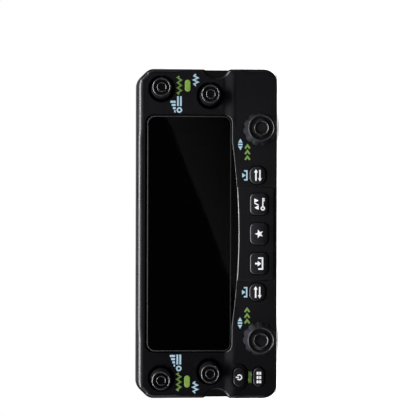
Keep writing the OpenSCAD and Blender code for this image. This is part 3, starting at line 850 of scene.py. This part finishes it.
film_face = clear_film("film_clear", (0.02, 0.02, 0.025, 1), 0.03)
# The cut-edge band is painted paler and less clear: a painted highlight.
film_edge_painted_highlight = clear_film("film_cut_edge_painted_highlight", (0.22, 0.22, 0.23, 1), 0.45)
film_wide, _, film_tall = span("screen_film")
FILM_D = front_of("screen_film")
FILM_BACK_D = back_of("screen_film")
film_ring = round_box(middle("screen_film"), (film_wide, film_tall), LENS_R)
film = Skin()
# The outer band of the film's face takes the painted highlight.
film.finish = 1
film.loft(film_ring, [(-0.4, FILM_D), (-0.08, FILM_D), (0, FILM_D - 0.05), (0, FILM_BACK_D)])
film.finish = 0
film.cap(film_ring(-0.4), [], FILM_D)
film.cap(film_ring(0), [], FILM_BACK_D)
hand_over(film.build("screen_film_sheet", film_face, film_edge_painted_highlight, weighted=False), "root", "film", "screen_film")

# ---- Keys ----
# Seven hard satin keys, each crowned so that its upper part catches the light. Behind the wall
# each has a flange that holds it in and a stem that presses the rubber mat.

FLANGE_D = (BAND_D - 3.8, BAND_D - 2.8)
STEM_D = back_of("key_star")
CROWN_X = 0.15
key_black = moulded_plastic("key_satin_resin", (0.019, 0.0185, 0.024), 0.36, 0.06, 0.25)


def crowned(node, crown):
    """The front surface of a key: a low crown, higher across its height than its width."""
    centre = middle(node)
    wide, _, tall = span(node)
    top = front_of(node)

    def surface(x, z):
        u = (x - centre[0]) / (wide / 2)
        v = (z - centre[1]) / (tall / 2)
        return top - crown * v * v - CROWN_X * u * u

    return surface


def key_piece(node, ring, crown, lip):
    surface = crowned(node, crown)
    centre = middle(node)
    wide, _, tall = span(node)
    key = Skin()
    sides = edge_lip(lip, surface, steps=6)
    key.loft(ring, sides + [(0, FLANGE_D[1]), (0.75, FLANGE_D[1]), (0.75, FLANGE_D[0])])
    xs = np.arange(-wide / 2, wide / 2, 0.8) + centre[0]
    zs = np.arange(-tall / 2, tall / 2, 0.6) + centre[1]
    key.cap(ring(-lip), [], surface, [(x, z) for x in xs for z in zs])
    stem = circle(centre, 32)
    key.cap(ring(0.75), [stem(1.5)], FLANGE_D[0])
    rings = key.loft(stem, [(1.5, FLANGE_D[0]), (1.5, STEM_D)])
    key.fan(rings[-1], centre, STEM_D)
    hand_over(key.build(node + "_button", key_black), node + "_cap", "key_cap", node)
    return surface


key_surface = {
    node: key_piece(node, ring, crown, lip)
    for node, ring, crown, lip in (
        *((node, ring, 0.6, 0.55) for node, ring in zip(("key_store", "key_star", "key_level"), middle_key_rings)),
        *((f"key_swap_{end}", ring, 0.5, 0.5) for end, ring in zip(ENDS, side_key_rings)),
        ("key_power", power_ring, 0.35, 0.45),
        ("key_function", function_ring, 0.35, 0.45),
    )
}

# ---- Indicators ----
# Two small oval light pipes of frosted yellow-green acrylic, lit from the board behind them.

lamp_green = shaded(
    "lit_diffuser",
    {"Base Color": (0.12, 0.2, 0.035, 1), "Roughness": 0.35, "Emission Strength": 1.0},
    {
        "where": "TexCoord",
        "cloud": ("TexNoise", {"Scale": 900}),
        "glow": ("Mix", {"data_type": "RGBA", "A": (0.10, 0.20, 0.028, 1), "B": (0.22, 0.34, 0.075, 1)}),
    },
    """
    where.Object > cloud.Vector
    cloud.Fac > glow.Factor
    glow.Result > shader.Emission Color
    """,
)

for end, centre in zip(ENDS, lamp_places):
    node = "indicator_" + end
    steps = edge_lip(0.3, front_of(node)) + [(0, FACE_D - 0.8), (0, INNER_D - 0.1), (0.8, INNER_D - 0.1),
                                             (0.8, INNER_D - 1.1), (0, INNER_D - 1.1), (0, back_of(node))]
    pipe = closed(oval(centre, LAMP_SIZE), steps)
    hand_over(pipe.build(node + "_pipe", lamp_green), "root", "lamp", node)

# ---- Dials ----
# Two tall dials in rubberised plastic: eleven rounded flutes, a rolled rim, and a dished cap of
# finer plastic pressed into the top. One sector of the barrel is made and repeated round the axis.


# Repeats a mesh: each copy is turned about a pivot on the Y axis and moved on by one step
copies = new_group(
    "turned_copies",
    [(label, kind, None) for label, kind in (("Geometry", "Geometry"), ("Count", "Int"), ("Turn", "Float"),
                                             ("Pivot", "Vector"), ("Step", "Vector"), ("Merge", "Float"),
                                             ("Material", "Material"))],
    [("Geometry", "Geometry")],
    {
        "index": "GeometryNodeInputIndex",
        "shift": ("VectorMath", {"operation": "SCALE"}),
        "spot": ("VectorMath", {"operation": "ADD"}),
        "cloud": "GeometryNodePoints",
        "back": ("VectorMath", {"operation": "SCALE", "Scale": -1}),
        "centred": "GeometryNodeTransform",
        "angle": ("Math", {"operation": "MULTIPLY"}),
        "spin": "CombineXYZ",
        "place": "GeometryNodeInstanceOnPoints",
        "solid": "GeometryNodeRealizeInstances",
        "weld": "GeometryNodeMergeByDistance",
        "coat": "GeometryNodeSetMaterial",
    },
    """
    given.Step > shift.0
    index.0 > shift.Scale, angle.0
    shift.0 > spot.0
    given.Pivot > spot.1, back.0
    given.Count > cloud.Count
    spot.0 > cloud.Position
    given.Geometry > centred.Geometry
    back.0 > centred.Translation
    given.Turn > angle.1
    angle.0 > spin.Y
    cloud.0 > place.Points
    centred.Geometry > place.Instance
    spin.0 > place.Rotation
    place.0 > solid.0
    solid.0 > weld.Geometry
    given.Merge > weld.Distance
    weld.0 > coat.Geometry
    given.Material > coat.Material
    coat.0 > made.0
    """,
    "GeometryNodeTree",
)
copies_inputs = {item.name: item.identifier for item in copies.interface.items_tree if item.in_out == "INPUT"}


def repeat(piece, count, turn=0.0, pivot=(0, 0, 0), step=(0, 0, 0), merge=MERGE):
    """Runs the copies group on a piece and keeps the result as its mesh."""
    live = piece.modifiers.new("repeat", "NODES")
    live.node_group = copies
    values = {"Count": count, "Turn": turn, "Pivot": pivot, "Step": step, "Merge": merge,
              "Material": piece.data.materials[0]}
    for label, value in values.items():
        live[copies_inputs[label]] = value
    return bake_modifiers(piece)


def from_depth(base, *pairs):
    """Points (radius, depth) of a profile, given with their depths counted from a base."""
    return [(r, base + d) for r, d in pairs]


def lathe(centre, profile, steps=96):
    """A closed turned skin from a profile of (radius, depth) that starts and ends on the axis."""
    turned = Skin()
    rings = turned.loft(circle(centre, steps), profile[1:-1])
    turned.fan(rings[0], centre, profile[0][1])
    turned.fan(rings[-1], centre, profile[-1][1])
    return turned


rubberised = moulded_plastic("rubberised_grip", (0.021, 0.0205, 0.026), 0.34, 0.05, wear=0.9, specular=0.35)
spun_black = moulded_plastic("spun_cap_resin", (0.006, 0.006, 0.007), 0.3, 0.05, wear=0.9, specular=0.6)
knob_black = moulded_plastic("knob_gloss_grip", (0.0072, 0.0070, 0.0095), 0.3, 0.04, wear=0.5, specular=0.2)
# A darker matt copy of the knob plastic for the flanks: painted shade.
flank_painted_shade = moulded_plastic("knob_flank_painted_shade", (0.0025, 0.0025, 0.003), 0.7, 0.05, wear=0.0, specular=0.15)
rim_gloss = moulded_plastic("polished_rim", (0.02, 0.02, 0.024), 0.3, 0.02, wear=0.0, specular=0.8, coat=0.6)


def refinish(piece, centre, bands, *materials):
    """Gives each face the first finish whose ring of radii, round a centre, its middle lies in."""
    for material in materials:
        piece.data.materials.append(material)
    for face in piece.data.polygons:
        r = math.hypot(face.center.x / MM - centre[0], face.center.z / MM - centre[1])
        for i, (inner, outer) in enumerate(bands):
            if inner < r < outer:
                face.material_index = i + 1
                break


FLUTES = 11
FLUTE_STEPS = 16
BORE_R = 1.82
SKIRT_R = 7.2
for end, centre in zip(ENDS, dial_places):
    foot_d = back_of("dial_knob_" + end)
    top_d = front_of("dial_knob_" + end)
    cap_back = back_of("dial_cap_" + end)
    barrel = from_depth(top_d, (0, -2.5), (BORE_R, -2.5))
    barrel += from_depth(foot_d, (BORE_R, 0), (3, 0), (3, 4.5), (5.3, 4.5), (5.3, 0.2), (5.5, 0), (SKIRT_R - 0.25, 0),
                         (SKIRT_R - 0.07, 0.07), (SKIRT_R, 0.25), (SKIRT_R, 1.1), (SKIRT_R - 0.1, 1.4))
    barrel += [(SKIRT_R - 0.1 - 1.2 * i / 6, foot_d + 1.4 + (top_d - 0.9 - foot_d - 1.4) * i / 6) for i in range(1, 7)]
    barrel += from_depth(top_d, (5.8, -0.5), (5.65, -0.2), (5.42, -0.03), (5.2, 0), (5.0, -0.08), (4.85, -0.3),
                         (4.78, -0.6), (4.4, -0.7), (4.16, -0.75))
    barrel += [(4.16, cap_back), (0, cap_back)]
    angles = np.linspace(0, 2 * math.pi / FLUTES, FLUTE_STEPS + 1)
    points = []
    for a in angles:
        for r, d in barrel:
            if r > 5.5:
                far = 7.95 - 0.09 * (d - foot_d - 1)
                off = a - math.pi / FLUTES
                reach = 1.35 ** 2 - (far * math.sin(off)) ** 2
                if reach > 0:
                    near = far * math.cos(off) - math.sqrt(reach)
                    r = -math.log(math.exp(-9 * r) + math.exp(-9 * near)) / 9 if near < r + 0.6 else r
            points.append((centre[0] + r * math.cos(a), -d, centre[1] + r * math.sin(a)))
    m = len(barrel)
    faces = [(i * m + j, i * m + j + 1, (i + 1) * m + j + 1, (i + 1) * m + j)
             for i in range(FLUTE_STEPS) for j in range(m - 1)]
    knob = add_mesh(f"dial_{end}_fluted_knob", points, faces, MM)
    knob.data.materials.append(rubberised)
    repeat(knob, FLUTES, 2 * math.pi / FLUTES, (centre[0] * MM, 0, centre[1] * MM))
    finish_mesh(knob, [rubberised], 42)
    refinish(knob, centre, [(4.84, 5.5)], rim_gloss)
    hand_over(knob, "dial_push_" + end, "knob_rubberised", "dial_knob_" + end)
    cap_d = front_of("dial_cap_" + end)
    dish = from_depth(cap_back, (0, 0), (4.1, 0), (4.1, 0.22), (4.0, 0.3), (3.3, 0.32), (3.22, 0.42))
    dish += from_depth(cap_d, (3.16, -0.12), (3.04, -0.02), (2.9, 0), (2.76, -0.05), (2.64, -0.18), (2.5, -0.32),
                       (1.6, -0.38), (0.8, -0.4), (0, -0.4))
    cap = lathe(centre, dish).build(f"dial_{end}_dished_cap", spun_black, smooth=50)
    refinish(cap, centre, [(2.64, 3.16)], rim_gloss)
    hand_over(cap, "dial_push_" + end, "dial_cap", "dial_cap_" + end)

# ---- Small knobs ----
# Four small tapered knobs in smooth plastic stand in round wells; their flanks take a darker, matt copy of the
# plastic, painted shade. Each has a rolled rim, a groove, an inner ring round a small hole, and a pointer slot milled
# across the rim.

SLOT_CLOCK = {"volume": 225, "squelch": 257}
SLOT_W = 0.9


def mill(piece, cutter):
    """Cuts one closed piece out of another and removes the cutter."""
    job = piece.modifiers.new("milled", "BOOLEAN")
    job.operation = "DIFFERENCE"
    job.solver = "EXACT"
    job.object = cutter
    bake_modifiers(piece)
    bpy.data.objects.remove(cutter)
    return piece


for kind, clock in SLOT_CLOCK.items():
    for end in ENDS:
        node = f"{kind}_knob_{end}"
        centre = middle(node)
        top_d = front_of(node)
        foot_d = back_of(node)
        turned = from_depth(top_d, (0, -1.95), (BORE_R, -1.95))
        turned += from_depth(foot_d, (BORE_R, 0), (4.2, 0), (4.34, 0.06), (4.4, 0.2), (4.28, 3), (4.16, 6))
        turned += from_depth(top_d, (4.05, -0.65), (3.98, -0.35), (3.84, -0.12), (3.64, 0), (3.42, -0.02),
                             (3.22, -0.15), (3.1, -0.4), (3.06, -0.7), (2.2, -0.7), (2.12, -0.4), (2.0, -0.18),
                             (1.84, -0.1), (1.66, -0.18), (1.53, -0.4), (1.5, -0.7), (0, -0.7))
        knob = lathe(centre, turned, 72).build(f"{kind}_{end}_small_knob", knob_black, smooth=50, weighted=False)
        slot = closed(round_box((0, 4.0), (SLOT_W, 5.4), 0.3), [(0, top_d - 0.68), (0, top_d + 1)])
        cutter = slot.build("slot_cutter", knob_black, weighted=False)
        cutter.data.transform(Matrix.Rotation(math.radians(clock), 4, "Y"))
        cutter.data.transform(Matrix.Translation((centre[0] * MM, 0, centre[1] * MM)))
        mill(knob, cutter)
        finish_mesh(knob, [knob_black], 42)
        # The outer band, the flank, takes the painted-shade copy; the rings take the glossier rim finish.
        refinish(knob, centre, [(1.62, 2.1), (3.2, 3.98), (3.98, 5)], rim_gloss, rim_gloss, flank_painted_shade)
        body = f"volume_push_{end}" if kind == "volume" else f"squelch_turn_{end}"
        hand_over(knob, body, "knob_rubberised", node)

# ---- Printed marks ----
# Thin ink pictograms, pad-printed on the case in pale blue and green and on the keys in white: volume steps,
# waves, arrows, a star, a key and a power mark. The inks also emit a little light of their colour, a painted glow.

INK_T = 0.04


# Each ink emits light of its own paler colour at the glow strength: a painted glow, not a lamp.
def printed(name, colour, glow):
    paler, deeper = (*colour, 1), (*[c * 0.85 for c in colour], 1)
    return shaded(
        name,
        {"Roughness": 0.55, "Emission Strength": glow, "Emission Color": paler},
        {
            "where": "TexCoord",
            "speckle": ("TexNoise", {"Scale": 3000}),
            "tone": ("Mix", {"data_type": "RGBA", "A": deeper, "B": paler}),
        },
        """
        where.Object > speckle.Vector
        speckle.Fac > tone.Factor
        tone.Result > shader.Base Color
        """,
    )


def bar(x0, z0, x1, z1):
    return ([(x0, z0), (x1, z0), (x1, z1), (x0, z1)], [])


def stroke(points, width):
    """A polyline with a width, as one outline with mitred corners."""
    path = np.array(points, float)
    legs = np.diff(path, axis=0)
    legs /= np.linalg.norm(legs, axis=1)[:, None]
    left = np.stack([-legs[:, 1], legs[:, 0]], axis=1)
    mean = np.vstack([left[:1], left[1:] + left[:-1], left[-1:]])
    mean /= np.linalg.norm(mean, axis=1)[:, None]
    lean = np.clip(np.sum(mean * np.vstack([left, left[-1:]]), axis=1), 0.45, 1)
    out = mean * (width / 2 / lean)[:, None]
    return ([tuple(p) for p in path + out] + [tuple(p) for p in (path - out)[::-1]], [])


def ring_mark(x, z, outer, inner):
    return (arc((x, z), outer, 0, 360, 20)[:-1], [arc((x, z), inner, 0, 360, 20)[:-1]])


def pointer(x, z, w, h, turn=0):
    """A solid triangle that points up, turned by degrees."""
    a = math.radians(turn)
    corners = [(-w / 2, -h / 2), (w / 2, -h / 2), (0, h / 2)]
    return ([(x + u * math.cos(a) - v * math.sin(a), z + u * math.sin(a) + v * math.cos(a)) for u, v in corners], [])


def print_marks(name, shapes, at, surface, material, body, slot):
    """Prints shapes, drawn round (0, 0), on a surface at a place in millimetres."""
    ink = Skin()
    for outer, holes in shapes:
        loops = [split_long([(x + at[0], z + at[1]) for x, z in loop], 0.5) for loop in [outer, *holes]]
        high = lambda x, z: surface(x, z) + INK_T
        low = lambda x, z: surface(x, z) - INK_T / 2
        ink.cap(loops[0], loops[1:], high)
        ink.cap(loops[0], loops[1:], low)
        for loop in loops:
            ink.bridge(ink.ring(loop, high), ink.ring(loop, low))
    hand_over(ink.build(name, material, smooth=30, weighted=False), body, slot)


steps_mark = [bar(-2.5 + 1.35 * i, -1.1, -1.6 + 1.35 * i, -0.5 + 0.53 * i) for i in range(4)]
target_mark = [ring_mark(-2.4, 0, 1.2, 0.55), bar(-0.7, 0.25, 3.5, 1.0), bar(-0.7, -1.0, 3.5, -0.25)]
wave_mark = [stroke([(-3.8, 0), *[(-3.3 + 1.1 * i, 0.8 * (-1) ** i) for i in range(7)], (3.8, 0)], 0.62)]
noise_mark = [stroke([(-2.5, 0.1), (-1.7, 0.9), (-0.9, -0.8), (0, 1.1), (0.9, -0.8), (1.7, 0.9), (2.5, 0.1)], 0.6)]
step_mark = [pointer(-1.6, 0, 1.9, 1.7, 90), pointer(1.6, 0, 1.9, 1.7, -90), bar(-0.35, -0.95, 0.35, 0.95)]
scan_mark = [stroke([(-3.3 + 2.4 * i, 1.0), (-1.9 + 2.4 * i, 0), (-3.3 + 2.4 * i, -1.0)], 0.75) for i in range(3)]
tray_mark = [stroke([(-1.9, 0.3), (-1.9, -0.9), (1.9, -0.9), (1.9, 0.3)], 0.6), pointer(0, 0.35, 2.0, 1.5, 180)]
slider_mark = [bar(-2.4, 0.2, 2.4, 0.55), bar(-2.4, -0.55, 2.4, -0.2), bar(-1.5, 0.02, -0.6, 0.78),
               bar(0.7, -0.78, 1.6, -0.02)]
blue_ink_painted_glow = printed("pale_blue_ink", (0.40, 0.58, 0.70), 0.6)
green_ink_painted_glow = printed("pale_green_ink", (0.25, 0.43, 0.11), 0.3)
white_ink_painted_glow = printed("white_ink_painted_glow", (0.80, 0.81, 0.84), 0.75)
for sign, end in zip((-1, 1), ENDS):
    for mark, shapes, x, z, ink in (
        ("volume_steps", steps_mark, 54.0, 14.2, blue_ink_painted_glow),
        ("main_target", target_mark, 54.9, 11.5, blue_ink_painted_glow),
        ("band_wave", wave_mark, 63.0, 11.5, green_ink_painted_glow),
        ("squelch_noise", noise_mark, 65.3, 4.4, blue_ink_painted_glow),
        ("coarse_step", step_mark, 37.9, -14.4, blue_ink_painted_glow),
        ("scan_arrows", scan_mark, 34.7, -17.4, green_ink_painted_glow),
        ("store_tray", tray_mark, 24.8, -16.3, blue_ink_painted_glow),
    ):
        print_marks(f"{mark}_{end}", shapes, (sign * x, z), face_depth, ink, "root", "front_case")
print_marks("setup_sliders", slider_mark, (-60.9, -18.68), face_depth, green_ink_painted_glow, "root", "front_case")

star = [(r * math.sin(math.pi * k / 5), r * math.cos(math.pi * k / 5)) for k, r in enumerate([1.9, 0.78] * 5)]
swap_mark = [pointer(1.9, 0.85, 1.6, 1.4, -90), bar(-2.3, 0.55, 1.33, 1.15),
             pointer(-1.9, -0.85, 1.6, 1.4, 90), bar(-1.33, -1.15, 2.3, -0.55)]
key_mark = [ring_mark(-1.8, -1.5, 0.95, 0.4), bar(-1.02, -1.75, 2.6, -1.25), bar(1.26, -2.3, 1.76, -1.63),
            bar(2.04, -2.3, 2.53, -1.63), pointer(-1.5, 1.2, 1.8, 1.8),
            pointer(1.5, 1.2, 1.8, 1.8, 180), stroke([(-0.45, 0.3), (0.45, 2.1)], 0.45)]
deep_tray = [stroke([(-2.3, 0.4), (-2.3, -1.4), (2.3, -1.4), (2.3, 0.4)], 0.65), pointer(0, -0.1, 2.3, 1.5, 180),
             bar(-0.35, 0.6, 0.35, 1.7)]
power_mark = [stroke([(1.0 * math.sin(a), 1.0 * math.cos(a)) for a in np.radians(np.arange(40, 321, 20))], 0.5),
              bar(-0.24, 0.2, 0.24, 1.5)]
menu_mark = [bar(-2.5 + 1.8 * i, -0.95 + 1.1 * k, -1.3 + 1.8 * i, -0.15 + 1.1 * k) for i in range(3) for k in range(2)]
for node, shapes in (("key_store", deep_tray), ("key_star", [(star, [])]), ("key_level", key_mark),
                     ("key_swap_left", swap_mark), ("key_swap_right", swap_mark), ("key_power", power_mark),
                     ("key_function", menu_mark)):
    print_marks(node + "_mark", shapes, middle(node), key_surface[node], white_ink_painted_glow, node + "_cap", "key_cap")

# ---- Case screws ----
# Four black zinc pan-head screws close the case from behind, deep in round wells. One is turned
# and cross-cut, then repeated to the four corners.

screw_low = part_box("case_screws")[0]
screw_span = span("case_screws")
head_back = back_of("case_screws")
HEAD_R = 2.75
corner = (screw_low.x / MM + HEAD_R, screw_low.z / MM + HEAD_R)
tip = front_of("case_screws")
screw_profile = from_depth(head_back, (0, 0), (1.6, 0.03), (2.3, 0.2), (2.65, 0.6), (HEAD_R, 1.1), (HEAD_R, 1.9),
                           (1.5, 1.9)) + from_depth(tip, (1.5, -1.2), (0.5, 0), (0, 0))
black_zinc = moulded_plastic("black_zinc", (0.02, 0.02, 0.022), 0.3, 0.05, 0.5)
black_zinc.node_tree.nodes["Principled BSDF"].inputs["Metallic"].default_value = 0.8
screw = lathe(corner, screw_profile, 48).build("case_screw_set", black_zinc, smooth=40, weighted=False)
for arm in ((3.0, 0.6), (0.6, 3.0)):
    cross = closed(round_box(corner, arm, 0.1), [(0, head_back - 1), (0, head_back + 1.1)])
    mill(screw, cross.build("cross_cutter", black_zinc, weighted=False))
repeat(screw, 2, step=((screw_span[0] - 2 * HEAD_R) * MM, 0, 0), merge=0)
repeat(screw, 2, step=(0, 0, (screw_span[2] - 2 * HEAD_R) * MM), merge=0)
finish_mesh(screw, [black_zinc], 40)
hand_over(screw, "root", "black_screw", "case_screws")

# ---- Inner parts and rear fittings ----
# The board, display, controls, mats and jack keep their designed solids and take finishes here:
# solder resist, plated steel, acetal, brass, silicone and nylon.

grainy = new_group(
    "even_grain",
    [("Colour", "Color", (0.5, 0.5, 0.5, 1)), ("Roughness", "Float", 0.4), ("Scale", "Float", 900.0)],
    [("Colour", "Color"), ("Roughness", "Float")],
    {
        "where": "TexCoord",
        "speck": "TexNoise",
        "shade": ("MapRange", {"To Min": 0.75, "To Max": 1.2}),
        "toned": ("VectorMath", {"operation": "SCALE"}),
        "matte": ("Math", {"operation": "MULTIPLY"}),
    },
    """
    where.Object > speck.Vector
    given.Scale > speck.Scale
    speck.Fac > shade.Value
    given.Colour > toned.0
    shade.Result > toned.Scale, matte.1
    given.Roughness > matte.0
    toned.0 > made.Colour
    matte.0 > made.Roughness
    """,
)

FINISHES = (
    ("tape_black", (0.006, 0.006, 0.006), 0.8, 0, "lens_tape"),
    ("display_dark_glass", (0.004, 0.005, 0.006), 0.08, 0, "lcd_glass"),
    ("frame_white", (0.6, 0.59, 0.54), 0.5, 0, "lcd_frame"),
    ("guide_clear", (0.7, 0.7, 0.66), 0.15, 0, "light_guide"),
    ("polyimide_amber", (0.35, 0.1, 0.01), 0.3, 0, "lcd_flex"),
    ("solder_resist_green", (0.004, 0.045, 0.02), 0.3, 0, "main_board"),
    ("epoxy_black", (0.008, 0.008, 0.009), 0.6, 0, "board_chips"),
    ("lamp_die_green", (0.35, 0.6, 0.08), 0.4, 0, "status_leds"),
    ("silicone_grey", (0.13, 0.13, 0.125), 0.7, 0, "key_mat side_key_mat"),
    ("spring_steel", (0.55, 0.55, 0.56), 0.3, 1, "snap_domes"),
    ("plated_can", (0.5, 0.5, 0.51), 0.35, 1, "encoder_body_* volume_pot_* squelch_pot_*"),
    ("acetal_cream", (0.5, 0.46, 0.36), 0.45, 0, "encoder_rotor_* volume_rotor_*"),
    ("turned_aluminium", (0.62, 0.62, 0.64), 0.3, 1, "dial_shaft_* volume_shaft_* squelch_shaft_*"),
    ("jack_nylon", (0.007, 0.007, 0.008), 0.35, 0, "data_jack"),
    ("gold_plate", (0.8, 0.52, 0.14), 0.22, 1, "jack_contacts"),
    ("bright_zinc", (0.62, 0.63, 0.65), 0.28, 1, "board_screws"),
    ("turned_brass", (0.62, 0.40, 0.12), 0.3, 1, "mount_inserts control_nuts"),
)
for name, colour, roughness, metallic, nodes_named in FINISHES:
    skin = {"node_tree": grainy, "Colour": (*colour, 1), "Roughness": roughness}
    wires = "skin.Colour > shader.Base Color\nskin.Roughness > shader.Roughness"
    material = shaded(name, {"Metallic": metallic}, {"skin": ("Group", skin)}, wires)
    for pattern in nodes_named.split():
        for end in ENDS:
            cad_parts[pattern.replace("*", end)].data.materials[0] = material

# ---- Window reflection ----
# A dim card by the camera, seen only in the window, gives the faint slanting reflection.

eye = camera.matrix_world.translation


def mirrored(x, z):
    """Where a card by the camera must reach so that the window shows it at x, z (millimetres)."""
    return (2 * x * MM - eye.x, eye.y, 2 * z * MM - eye.z)


slant_low = Vector((-18, -10))
slant = (Vector((48, 16)) - slant_low).normalized()
corners = [slant_low - slant * 30, slant_low + slant * 110]
corners += [corners[1] + Vector((40, -90)), corners[0] + Vector((0, -60))]
card = add_mesh("reflection_card", [mirrored(*c) for c in corners], [(0, 1, 2, 3)])
card.visible_camera = False
card.visible_diffuse = False
card.visible_shadow = False
card_glow = bpy.data.materials.new("card_glow")
card_glow.use_nodes = True
card_glow.node_tree.nodes.clear()
slant_out = Vector((slant.y, 0, -slant.x))
edge_at = Vector(mirrored(*slant_low)).dot(slant_out)
FADE_REACH = 2 * 26 * MM
fill_tree(
    card_glow.node_tree,
    {
        "where": "TexCoord",
        "across": ("VectorMath", {"operation": "DOT_PRODUCT", 1: slant_out}),
        "fade": ("MapRange", {"From Min": edge_at, "From Max": edge_at + FADE_REACH, "To Min": 1.15, "To Max": 0.2}),
        "shine": "Emission",
        "shown": "OutputMaterial",
    },
    """
    where.Object > across.0
    across.Value > fade.Value
    fade.Result > shine.Strength
    shine.0 > shown.Surface
    """,
)
card.data.materials.append(card_glow)
